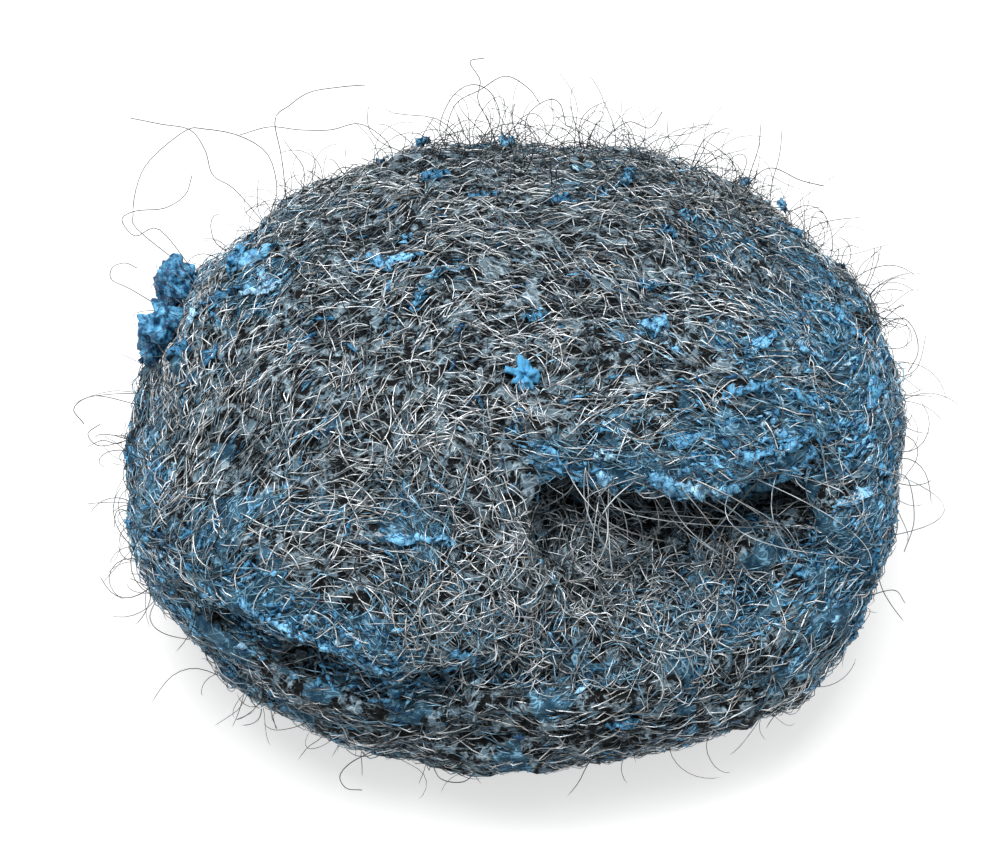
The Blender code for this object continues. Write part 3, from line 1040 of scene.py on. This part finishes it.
under = ease(skin_points[:, 2], 0.4, 2.0) * 0.94 + 0.06
clumps = 0.08 + ease(soft_noise(skin_points, CLUMP_SPACING, 26), 0.35, 0.62)
open_wool = under * clumps * (1 - 0.75 * ease(valley, *VALLEY_RANGE)) * (1 - 0.8 * deep_shadow)
curly = ease(curl, 0.15, 0.35)
combed_here = open_wool * (0.25 + (1 - by_picture)) * (1 - curly)
wavy_here = open_wool * (0.25 + by_picture) * (1 - 0.8 * curly)
curled_here = open_wool * (0.15 * (1 - 0.8 * in_rim) + curly)

# Each row: name, seed, count, where, steps, stride in millimetres, pull, and heights.
for row in (
    ("combed_shavings", 31, 10000, combed_here, 5, 1.4, 0.3, (-0.2, 0.45)),
    ("wavy_shavings", 32, 8000, wavy_here, 6, 0.95, 0.15, (-0.2, 0.6)),
    ("curled_shavings", 33, 4300, curled_here, 9, 0.65, 0.0, (-0.2, 0.8)),
):
    lay_shavings(*row)

# %% [markdown]
# ## Soap between the shavings
#
# The dried film shows as ragged blue streaks that lie along the shavings, at about their height.
# A streak is a flat tube, laid by the same walk. Its width changes at random from step to step,
# which makes its torn edges, and its places are picked where the soap is.

# %% Soap finish
SOAP_THIN = (0.13, 0.21, 0.27)
SOAP_DEEP = (0.015, 0.085, 0.19)
SOAP_MID = (0.07, 0.28, 0.48)
SOAP_PALE = (0.18, 0.47, 0.72)
SOAP_WHITE = (0.52, 0.76, 0.90)
SOAP_SHINE = 0.25
BLOTCH_SCALE = 1300.0
THREAD_SCALE = 1900.0
THREAD_DARK = (0.25, 0.27, 0.30)


def soap_finish():
    material, tree, shader = new_material("dried_soap", 0.45, 0.0, SOAP_SHINE)
    coordinates = object_place(tree)
    tone = add_ramp(tree, [
        (0.0, SOAP_THIN), (0.18, SOAP_THIN), (0.26, SOAP_DEEP), (0.52, SOAP_MID),
        (0.86, SOAP_PALE), (1.0, SOAP_WHITE),
    ], piece_map(tree)[1])
    blotches = add_noise(tree, coordinates, BLOTCH_SCALE, 3.0, 0.7)
    # The blotches that raise the bump also set the colour: painted shade low down, a painted
    # highlight on the raised parts.
    painted_ridge_light = add_ramp(tree, [
        (0.36, (0.35, 0.40, 0.46)), (0.48, (0.9, 0.95, 1.0)), (0.64, (1.35, 1.25, 1.15)),
    ], blotches)
    threads = lines_along(tree, coordinates, 0, 1, THREAD_SCALE)
    veil = add_mix(tree, threads, (1.0, 1.0, 1.0), THREAD_DARK)
    colour = multiplied(tree, multiplied(tree, tone, painted_ridge_light), veil)
    tree.links.new(colour, shader.inputs["Base Color"])
    add_bump(tree, shader, blotches, 0.2, 0.8)
    return material


dried_soap = soap_finish()
print("soap finish:", dried_soap.name)

# %% Streaks, specks and crusts
THIN_TONES = 0.25
STREAK_PULL = 0.1
STREAK_WAVE = 0.12
STREAK_TUCK = 0.2
STREAK_TILT = 0.45


def lay_streaks(
    name, seed, count, weight, steps, stride, sides, width, thickness, heights, stray_scale=0.6
):
    """Flat ragged streaks of soap over the skin. width is half the usual width."""
    rng = np.random.default_rng(seed)
    paths, starts, normals, _ = lay_paths(
        rng, count, weight, steps, stride, STREAK_PULL, heights, STREAK_WAVE, STREAK_TUCK,
        stray_scale=stray_scale,
    )
    spindle = np.sqrt(np.clip(1.02 - np.linspace(-1, 1, steps) ** 2, 0, 1))[None, :]
    ragged = rng.uniform(0.25, 1.45, (count, steps))
    wide = width * rng.uniform(0.5, 1.5, count)[:, None] * ragged * spindle
    thick = np.minimum(thickness * rng.uniform(0.6, 1.4, (count, steps)), wide)
    tilt = unit(normals + STREAK_TILT * rng.standard_normal((count, steps, 3)))
    tones = rng.uniform(THIN_TONES, 1.0, count)
    thin = rng.random(count) > 0.25 + soap_here[starts]
    tones = np.where(thin, rng.uniform(0, THIN_TONES, count), tones)
    new_piece(name, tube_shape(paths, tilt, wide, thick, sides), tones, dried_soap)


soap_chance = under * (soap_here**1.2 + 0.28 * (1 - deep_shadow))
crust_chance = under * soap_crust + 1e-4

# Each row: name, seed, count, where, steps, stride, sides, half width, thickness, heights, stray.
for row in (
    ("soap_streaks", 41, 4300, soap_chance, 6, 0.50, 3, 0.24, 0.04, (-0.1, 0.38)),
    ("soap_specks", 42, 1800, soap_chance, 3, 0.32, 4, 0.14, 0.06, (0.1, 0.65)),
    ("soap_crust", 43, 1600, crust_chance, 4, 0.40, 4, 0.26, 0.06, (0.0, 0.65), 1.4),
):
    lay_streaks(*row)

# %% [markdown]
# ## Flakes and lumps of soap
#
# A few places hold more: the big bright smear along the flap's edge, flakes that stand up at the
# left end, and small beads. A flake is a wide flat tube with eight corners, crinkled by noise. The
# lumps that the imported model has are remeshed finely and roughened, and replace the plain ones.

# %% Flakes at named places
# Each flake: pixel across, pixel down, length and width in millimetres, angle in the picture in
# degrees, tone from 0 to 1, and height over the skin, which FLAKE_LIFT scales to millimetres.
FLAKES = (
    (255, 262, 5.0, 2.2, 20, 0.8, 0.5), (272, 285, 4.4, 1.9, -40, 0.9, 0.5),
    (238, 262, 3.2, 1.5, 70, 0.6, 0.7), (262, 296, 3.8, 1.3, 5, 0.95, 0.7),
    (196, 326, 3.4, 2.0, 70, 0.95, 1.0), (186, 338, 3.6, 1.4, 40, 0.45, 0.6),
    (160, 330, 4.4, 2.0, 60, 0.25, 0.5), (150, 350, 4.0, 1.8, 30, 0.35, 0.5),
    (165, 278, 3.6, 1.6, 60, 0.3, 0.9), (150, 296, 4.0, 1.5, 80, 0.2, 0.9),
    (140, 345, 3.0, 1.6, 75, 0.3, 0.9), (176, 350, 4.0, 1.3, 25, 0.4, 0.5),
    (222, 300, 4.0, 1.2, 20, 0.4, 0.3), (205, 365, 4.4, 1.2, 55, 0.4, 0.2),
    (395, 262, 5.0, 0.9, 15, 0.85, 0.7), (380, 268, 3.0, 1.1, -30, 0.75, 0.8),
    (418, 300, 2.6, 0.9, 60, 0.7, 0.7), (440, 272, 4.4, 0.8, 12, 0.8, 0.5),
    (655, 330, 2.4, 1.5, 40, 0.85, 0.7), (628, 182, 1.9, 1.0, 60, 0.75, 0.9),
    (600, 197, 1.8, 0.9, 20, 0.7, 0.6), (744, 182, 2.0, 0.9, 50, 0.65, 1.3),
    (556, 462, 3.0, 1.5, -50, 0.7, 0.5), (568, 471, 3.0, 1.2, -35, 0.75, 0.5),
    (588, 478, 3.4, 1.0, -15, 0.8, 0.5), (606, 483, 2.6, 1.4, -40, 0.9, 0.5),
    (600, 455, 1.9, 1.1, 0, 0.95, 0.6), (648, 472, 2.6, 1.1, -10, 0.7, 0.5),
    (665, 483, 4.0, 1.6, -35, 0.8, 0.5), (684, 492, 3.6, 1.4, -15, 0.9, 0.5),
    (703, 490, 3.2, 1.5, 5, 0.95, 0.6), (718, 496, 2.6, 1.1, -10, 0.85, 0.4),
    (735, 491, 3.4, 1.3, 12, 0.85, 0.5), (757, 486, 4.0, 1.1, 18, 0.75, 0.5),
    (778, 477, 4.0, 0.9, 28, 0.7, 0.5), (800, 462, 4.0, 0.9, 45, 0.7, 0.4),
    (672, 462, 4.0, 1.4, 25, 0.75, 0.4), (700, 470, 4.4, 1.6, 10, 0.85, 0.5),
    (728, 462, 3.6, 1.4, -10, 0.75, 0.5), (690, 440, 4.0, 1.2, 15, 0.7, 0.4),
    (720, 440, 4.0, 1.2, -12, 0.7, 0.4), (752, 455, 4.0, 1.2, 20, 0.7, 0.4),
    (790, 440, 4.0, 1.1, 30, 0.65, 0.4), (760, 345, 4.0, 1.4, 30, 0.75, 0.4),
    (800, 350, 4.2, 1.4, -40, 0.75, 0.4), (745, 390, 4.4, 1.2, 10, 0.65, 0.4),
    (810, 400, 4.6, 1.4, -20, 0.6, 0.3), (845, 320, 4.0, 1.4, -55, 0.6, 0.3),
    (820, 275, 4.0, 1.2, -50, 0.55, 0.3), (870, 395, 4.4, 1.4, 70, 0.55, 0.3),
    (853, 496, 3.4, 1.6, 20, 0.9, 0.5), (875, 560, 2.6, 0.7, 75, 0.55, 0.2),
    (885, 470, 4.4, 1.3, 85, 0.5, 0.3), (418, 544, 6.4, 0.8, -4, 0.8, 0.7),
    (507, 144, 2.6, 1.1, 25, 0.75, 1.2), (422, 148, 2.0, 0.9, 30, 0.7, 1.2),
    (684, 223, 1.8, 0.8, -30, 0.8, 0.6), (776, 212, 1.4, 0.7, 20, 0.75, 1.4),
    (406, 239, 1.3, 1.0, 0, 0.8, 0.9), (668, 234, 1.5, 0.6, -10, 0.6, 0.5),
    (709, 260, 1.4, 0.7, 0, 0.65, 0.6), (486, 199, 2.6, 0.8, 8, 0.45, 0.5),
    (438, 177, 2.4, 0.8, 5, 0.45, 0.5), (556, 203, 2.2, 0.7, -5, 0.4, 0.4),
    (789, 234, 2.4, 1.0, -35, 0.55, 0.6), (645, 284, 1.8, 0.6, 0, 0.6, 0.5),
    (700, 281, 1.6, 0.7, 20, 0.6, 0.5), (540, 320, 2.0, 0.7, 10, 0.5, 0.4),
    (330, 644, 5.0, 0.8, -20, 0.8, 0.5), (375, 664, 5.0, 0.8, -24, 0.75, 0.5),
    (285, 625, 4.4, 0.9, -30, 0.85, 0.5), (425, 684, 5.0, 0.8, -12, 0.7, 0.5),
    (255, 608, 3.4, 0.8, -40, 0.75, 0.5), (466, 656, 3.0, 1.0, -10, 0.7, 0.4),
    (620, 673, 4.0, 1.2, 5, 0.8, 0.4), (625, 720, 3.4, 0.8, 6, 0.6, 0.3),
)

# %% Shape the flakes
FLAKE_LIFT = 0.65
FLAKE_STEPS = 9
FLAKE_SIDES = 8
FLAKE_THICKNESS = 0.11
FLAKE_CRINKLE = 0.24
FLAKE_TILT = 0.35
DEPTH_COST = 0.35


def on_skin(pixels):
    """The skin point that shows nearest each pixel. Points further from the camera count as
    further off, so that the far side isn't taken."""
    pixels = np.asarray(pixels, float)[:, None, :]
    gap = np.linalg.norm(skin_pixels[None, :, :] - pixels, axis=2)
    return np.argmin(gap + DEPTH_COST * skin_depth[None, :], axis=1)


flake_rows = np.array(FLAKES)
rng = np.random.default_rng(51)
middle = on_skin(flake_rows[:, :2])
lengthwise = picture_direction(flake_rows[:, 4], skin_normals[middle])
reach = np.linspace(-0.5, 0.5, FLAKE_STEPS)[None, :, None] * flake_rows[:, 2, None, None]
line = skin_points[middle][:, None, :] + reach * lengthwise[:, None, :]
below = nearest_skin(line.reshape(-1, 3)).reshape(line.shape[:2])
out = skin_normals[below]
line = line - dot(line - skin_points[below], out) * out
line = line + FLAKE_LIFT * flake_rows[:, 6, None, None] * out
outline = np.sqrt(np.clip(1.04 - np.linspace(-1, 1, FLAKE_STEPS) ** 2, 0, 1))[None, :]
wide = flake_rows[:, 3, None] / 2 * outline * rng.uniform(0.6, 1.25, line.shape[:2])
thick = FLAKE_THICKNESS * np.ones(line.shape[:2])
tilted = unit(out + FLAKE_TILT * rng.standard_normal((len(line), 1, 3)))
points, triangles, flat_map = tube_shape(line, tilted, wide, thick, FLAKE_SIDES)
points = points + FLAKE_CRINKLE * rng.standard_normal(points.shape)
shape = points, triangles, flat_map
new_piece("soap_flakes", shape, flake_rows[:, 5], dried_soap)

# %% Lumps and bead
LUMP_CELL = 0.22
LUMP_BLOTCH_SCALE = 1100.0
BEAD_BLUE = (0.08, 0.37, 0.68)
LUMP_CRINKLE = 2.0
LUMP_SHADED_BLUE = (0.008, 0.05, 0.12)


def lump_finish(name, low, middle, high):
    material, tree, shader = new_material(name, 0.5, 0.0, SOAP_SHINE)
    blotches = add_noise(tree, object_place(tree), LUMP_BLOTCH_SCALE, 4.0, 0.7)
    # As on the soap, the bump's blotches set the colour: painted shade low down, a painted highlight
    # on the raised parts.
    tone = add_ramp(tree, [(0.44, low), (0.55, middle), (0.66, high)], blotches)
    tree.links.new(tone, shader.inputs["Base Color"])
    add_bump(tree, shader, blotches, 0.2, 0.7)
    return material


def add_lump(node_name, seed, material, size):
    """A lump of soap, remeshed finely and crinkled along its normals. The noise is turned, so that
    its lattice doesn't show as steps."""
    mesh = fine_copy(node_name, node_name, LUMP_CELL, 2)
    points, faces = read_points(mesh), read_triangles(mesh)
    turned = points @ np.linalg.qr(np.random.default_rng(seed).standard_normal((3, 3)))[0]
    rough = soft_noise(turned, size, seed) + 0.5 * soft_noise(turned, size / 2, seed + 1)
    points = points + vertex_normals(points, faces) * ((rough - 0.8) * LUMP_CRINKLE)[:, None]
    lump = stand_in(mesh, points, node_name + "_rough", node_name, material)
    print(lump.name, "has", len(faces), "triangles")


lump_soap = lump_finish("lump_of_soap", LUMP_SHADED_BLUE, SOAP_MID, SOAP_PALE)
bead_soap = lump_finish("bead_of_soap", SOAP_MID, BEAD_BLUE, SOAP_PALE)
add_lump("soap_lump_upper", 61, lump_soap, 1.0)
add_lump("soap_lump_lower", 63, lump_soap, 1.0)
add_lump("soap_bead_middle", 65, bead_soap, 0.6)

# %% [markdown]
# ## Stray hairs
#
# Fine shavings stand off the pad all round, and a few long ones make big loops at the left. Short
# ones grow freely: each leaves the skin at a slant and bends at a steady rate about an axis that
# wanders. The long ones follow points named in the picture, joined by a Catmull-Rom curve, and each
# starts in the wool.

# %% Fuzz
HAIR_RADIUS = 0.052
FUZZ_STEPS = 11
# Hairs take only dark tones: painted shade of thin steel seen against the light.
HAIR_SHADE_TONE = 0.32
ROOT_DEPTH = 0.3
AXIS_WANDER = 0.25
ROOM_ROUND = np.array([11.0, 11.0, 10.2])


def in_room(paths):
    """Whether a path's points all lie over the floor and in the room that loose wool may take."""
    low = np.array(cad_box[0]) / MM - ROOM_ROUND
    high = np.array(cad_box[1]) / MM + ROOM_ROUND
    low[2] = LEAST_HEIGHT
    return np.all((paths > low) & (paths < high), axis=(1, 2))


def grow_fuzz(name, seed, count, weight, stride, least_slant, most_slant, bend):
    """Free hairs. The heading leaves the skin at a slant and turns about the axis each step."""
    rng = np.random.default_rng(seed)
    starts = starting_points(rng, count, weight)
    normal = skin_normals[starts]
    level_way = unit(np.cross(normal, rng.standard_normal((count, 3))))
    slant = np.radians(rng.uniform(least_slant, most_slant, count))[:, None]
    heading = np.cos(slant) * level_way + np.sin(slant) * normal
    point = skin_points[starts] - ROOT_DEPTH * normal
    axis = unit(rng.standard_normal((count, 3)))
    turn = (rng.uniform(0.4, 1.0, count) * bend * stride)[:, None]
    own_stride = stride * rng.uniform(0.5, 1.2, count)[:, None]
    paths = [point]
    for _ in range(FUZZ_STEPS - 1):
        axis = unit(axis + AXIS_WANDER * rng.standard_normal((count, 3)))
        heading = unit(heading + turn * np.cross(axis, heading))
        point = point + own_stride * heading
        paths.append(point)
    paths = np.stack(paths, axis=1)
    kept = in_room(paths[:, 1:])
    paths, normal = paths[kept], normal[kept]
    taper = np.linspace(1, 0.6, FUZZ_STEPS)
    radius = HAIR_RADIUS * rng.uniform(0.7, 1.2, len(paths))[:, None] * taper
    upward = np.broadcast_to(axis[kept][:, None, :], paths.shape)
    tones = rng.uniform(0, HAIR_SHADE_TONE, len(paths)) ** 1.2
    new_piece(name, sliver_shape(paths, upward, radius), tones, steel)


# %% Where the fuzz is
# Each spot of dense fuzz: pixel across, pixel down, reach in pixels, and how much.
FUZZ_SPOTS = (
    (495, 135, 60, 0.7), (560, 135, 50, 0.6), (640, 145, 50, 0.7), (730, 175, 50, 1.0),
    (800, 225, 50, 1.0), (850, 280, 40, 0.7), (380, 160, 40, 0.4), (290, 200, 40, 0.4),
    (890, 400, 40, 0.3), (125, 420, 40, 0.3), (130, 540, 40, 0.3), (250, 690, 40, 0.2),
)

# Each spot of tall tangle: the same.
TANGLE_SPOTS = ((490, 138, 55, 1.0), (570, 145, 40, 0.5), (650, 150, 40, 0.5), (750, 190, 40, 0.6))

back_top = ease(skin_points[:, 1], -5, 15) * ease(skin_points[:, 2], 12, 20)
dense_fuzz = 0.25 * back_top + strongest_spot(FUZZ_SPOTS)
grow_fuzz("loose_fuzz", 71, 750, under, 0.60, 0, 35, 0.7)
grow_fuzz("back_fuzz", 72, 1100, dense_fuzz + 0.02, 0.75, 0, 50, 0.62)
grow_fuzz("top_tangle", 73, 260, strongest_spot(TANGLE_SPOTS), 1.0, 0, 75, 0.55)

# %% Long hairs
# Each long hair: the upright plane it lies on, then pixels from its root in the wool to its tip.
LONG_HAIRS = (
    (18, ((165, 262), (140, 232), (133, 215), (137, 185), (150, 160), (185, 131), (205, 129),
     (240, 136), (268, 155), (277, 190), (270, 214))),
    (20, ((262, 222), (235, 190), (213, 175), (205, 150), (190, 130), (160, 124), (130, 118))),
    (16, ((172, 250), (160, 230), (135, 236), (122, 220), (135, 211), (165, 208), (185, 195),
     (192, 175))),
    (24, ((392, 165), (388, 143), (360, 124), (330, 130), (300, 130), (270, 127), (240, 135))),
    (22, ((290, 225), (282, 160), (275, 120), (290, 105), (310, 92), (340, 87), (365, 85))),
    (12, ((150, 300), (132, 290), (112, 280), (112, 268), (125, 263), (137, 268))),
    (26, ((460, 160), (440, 132), (450, 100), (470, 85), (490, 92), (500, 118), (492, 140))),
    (26, ((500, 150), (490, 125), (478, 100), (480, 80), (470, 62), (484, 58))),
    (27, ((450, 155), (445, 138), (455, 105), (480, 90), (505, 76), (528, 88), (540, 104))),
    (26, ((530, 160), (525, 130), (530, 112), (548, 100), (560, 104), (566, 126))),
    (25, ((600, 165), (606, 140), (628, 122), (650, 128), (662, 112))),
    (20, ((740, 200), (752, 180), (772, 168), (800, 180), (824, 186))),
    (6, ((880, 330), (900, 318), (914, 330), (918, 352), (908, 372))),
    (-6, ((893, 470), (908, 480), (914, 520), (904, 552))),
    (-14, ((880, 600), (893, 590), (905, 603))),
    (-18, ((205, 648), (165, 634), (150, 618), (158, 596))),
    (-35, ((380, 752), (352, 762), (340, 776), (346, 788), (362, 790))),
    (-35, ((430, 762), (440, 778), (462, 782), (476, 772))),
    (-4, ((122, 400), (96, 396), (74, 408), (84, 424))),
    (-2, ((124, 440), (100, 446), (88, 434), (100, 424))),
)
# The long hairs' dark tone is painted shade of thin steel seen against the light.
LONG_HAIR_SHADE_TONE = 0.12
LONG_STEPS = 36
LONG_ROOT_DEPTH = 0.5
HAIR_SWAY = 3.0


def catmull_rom(controls, steps):
    """A smooth path through all the control points. Between two of them, t from 0 to 1 blends the
    four nearest with the Catmull-Rom weights."""
    ends = 2 * controls[:1] - controls[1:2], 2 * controls[-1:] - controls[-2:-1]
    padded = np.concatenate([ends[0], controls, ends[1]])
    place = np.linspace(0, len(controls) - 1.0001, steps)
    first = place.astype(int)
    t = (place - first)[:, None]
    a, b, c, d = (padded[first + k] for k in range(4))
    square, cube = 2 * a - 5 * b + 4 * c - d, 3 * b - a - 3 * c + d
    return 0.5 * (2 * b + (c - a) * t + square * t**2 + cube * t**3)


def long_hair_path(back, pixels):
    """A hair's path. It sways off its plane by a sine, so that it isn't flat from the side."""
    sway = HAIR_SWAY * np.sin(back + 0.9 * np.arange(len(pixels)))
    controls = in_the_air(pixels, back + sway)
    root = on_skin(pixels[:1])[0]
    controls[0] = skin_points[root] - LONG_ROOT_DEPTH * skin_normals[root]
    return catmull_rom(controls, LONG_STEPS)


long_paths = np.stack([long_hair_path(back, pixels) for back, pixels in LONG_HAIRS])
long_paths = keep_off_floor(long_paths)
STRAND_UP = np.array([0.3, 0.5, 0.8])


def add_strands(name, paths, radius, tones):
    """Round strands with three sides along paths."""
    shape = tube_shape(paths, STRAND_UP, radius, radius, 3)
    new_piece(name, shape, tones, steel)


radius = HAIR_RADIUS * np.ones(long_paths.shape[:2])
add_strands("long_hairs", long_paths, radius, np.full(len(long_paths), LONG_HAIR_SHADE_TONE))

# %% [markdown]
# ## Strands across the mouth
#
# Where the flap lifts off the cheek, long shavings still join the two and cross the dark gap. Each
# one is a quadratic Bezier curve from a place on the flap's edge to a place on the cheek, with its
# middle point drawn out into the air.

# %% Strands across the mouth
LIP_ACROSS = (545, 575, 610, 641, 700, 757, 797, 850)
LIP_DOWN = (456, 474, 486, 476, 494, 488, 468, 440)
STRAND_COUNT = 44
STRAND_STEPS = 14
STRAND_ACROSS = (550, 845)
STRAND_FOOT = (34, 110)

rng = np.random.default_rng(81)
from_across = rng.uniform(*STRAND_ACROSS, STRAND_COUNT)
lip_down = np.interp(from_across, LIP_ACROSS, LIP_DOWN)
from_pixels = np.stack([from_across, lip_down - rng.uniform(0, 16, STRAND_COUNT)], axis=1)
to_across = from_across + rng.normal(25, 60, STRAND_COUNT)
to_pixels = np.stack([to_across, lip_down + rng.uniform(*STRAND_FOOT, STRAND_COUNT)], axis=1)
strand_start, strand_end = on_skin(from_pixels), on_skin(to_pixels)
first = skin_points[strand_start] + 0.2 * skin_normals[strand_start]
last = skin_points[strand_end] + 0.1 * skin_normals[strand_end]
span = np.linalg.norm(last - first, axis=1)[:, None]
outwards = np.array([0.0, -0.5, 0.4]) * rng.uniform(0.2, 1.0, (STRAND_COUNT, 1))
sideways = VIEW_RIGHT * rng.normal(0, 0.55, (STRAND_COUNT, 1))
middle_point = (first + last) / 2 + (outwards + sideways) * span
t = np.linspace(0, 1, STRAND_STEPS)[None, :, None]
strand_paths = (1 - t) ** 2 * first[:, None] + 2 * t * (1 - t) * middle_point[:, None]
strand_paths = strand_paths + t**2 * last[:, None]
radius = HAIR_RADIUS * rng.uniform(0.9, 1.3, (STRAND_COUNT, 1)) * np.ones(STRAND_STEPS)
strand_tones = BARE_TONES * rng.uniform(0.25, 0.75, STRAND_COUNT)
add_strands("mouth_strands", strand_paths, radius, strand_tones)

# %% [markdown]
# ## Floor, light and background
#
# The pad stands on a plain white floor under a soft light from above. The world grows brighter
# from the horizon to the zenith, as under a white tent, and one large lamp nearly overhead lights
# the top folds and leaves the creases dark. The floor's white is its own colour plus a glow that
# only the camera and mirrors see, so it shows white and keeps the pad's shadow.

# %% Floor
FLOOR_SIZE = 4.0
FLOOR_BASE = (0.50, 0.50, 0.50, 1.0)
FLOOR_GLOW = 0.59


def camera_only_strength(tree, amount):
    """A strength that only camera, glossy and transmission rays meet."""
    path = tree.nodes.new("ShaderNodeLightPath")
    seen = add_math(tree, "MAXIMUM", path.outputs["Is Camera Ray"], path.outputs["Is Glossy Ray"])
    seen = add_math(tree, "MAXIMUM", seen, path.outputs["Is Transmission Ray"])
    return add_math(tree, "MULTIPLY", seen, amount)


def add_floor():
    material, tree, shader = new_material("white_floor", 0.9, 0.0, 0.0)
    shader.inputs["Base Color"].default_value = FLOOR_BASE
    shader.inputs["Emission Color"].default_value = (1, 1, 1, 1)
    tree.links.new(camera_only_strength(tree, FLOOR_GLOW), shader.inputs["Emission Strength"])
    half = FLOOR_SIZE / 2
    mesh = bpy.data.meshes.new("floor")
    corners = [(-half, -half, 0), (half, -half, 0), (half, half, 0), (-half, half, 0)]
    mesh.from_pydata(corners, [], [(0, 1, 2, 3)])
    mesh.materials.append(material)
    floor = put_in_scene("floor", mesh)


add_floor()
print("floor:", FLOOR_SIZE, "metres a side")

# %% World and lamp
WORLD_LOW = 0.28
WORLD_HIGH = 0.92
KEY_PLACE = (-0.08, 0.05, 0.70)
KEY_SIZE = 0.50
KEY_POWER = 6.0


def add_world():
    world = bpy.data.worlds.new("soft_studio")
    world.use_nodes = True
    tree = world.node_tree
    background = tree.nodes["Background"]
    background.inputs["Color"].default_value = (1, 1, 1, 1)
    sight = tree.nodes.new("ShaderNodeTexCoord").outputs["Generated"]
    upward = add_node(tree, "ShaderNodeSeparateXYZ", sight).outputs["Z"]
    sky_range = {"To Min": WORLD_LOW, "To Max": WORLD_HIGH}
    sky = add_node(tree, "ShaderNodeMapRange", upward, **sky_range)
    strength = add_math(tree, "MAXIMUM", sky.outputs[0], camera_only_strength(tree, 1.0))
    tree.links.new(strength, background.inputs["Strength"])
    bpy.context.scene.world = world


def add_key():
    lamp = bpy.data.lights.new("key", "AREA")
    lamp.energy = KEY_POWER
    lamp.size = KEY_SIZE
    holder = put_in_scene("key", lamp)
    holder.location = KEY_PLACE
    aim = CAMERA_TARGET * MM - np.array(KEY_PLACE)
    holder.rotation_euler = (
        math.acos(-aim[2] / np.linalg.norm(aim)), 0, math.atan2(aim[1], aim[0]) - math.pi / 2
    )


add_world()
add_key()
bpy.context.scene.view_settings.view_transform = "Standard"
print("stage ready")

# %% [markdown]
# ## The end

# %% Finish
print("dressing done")
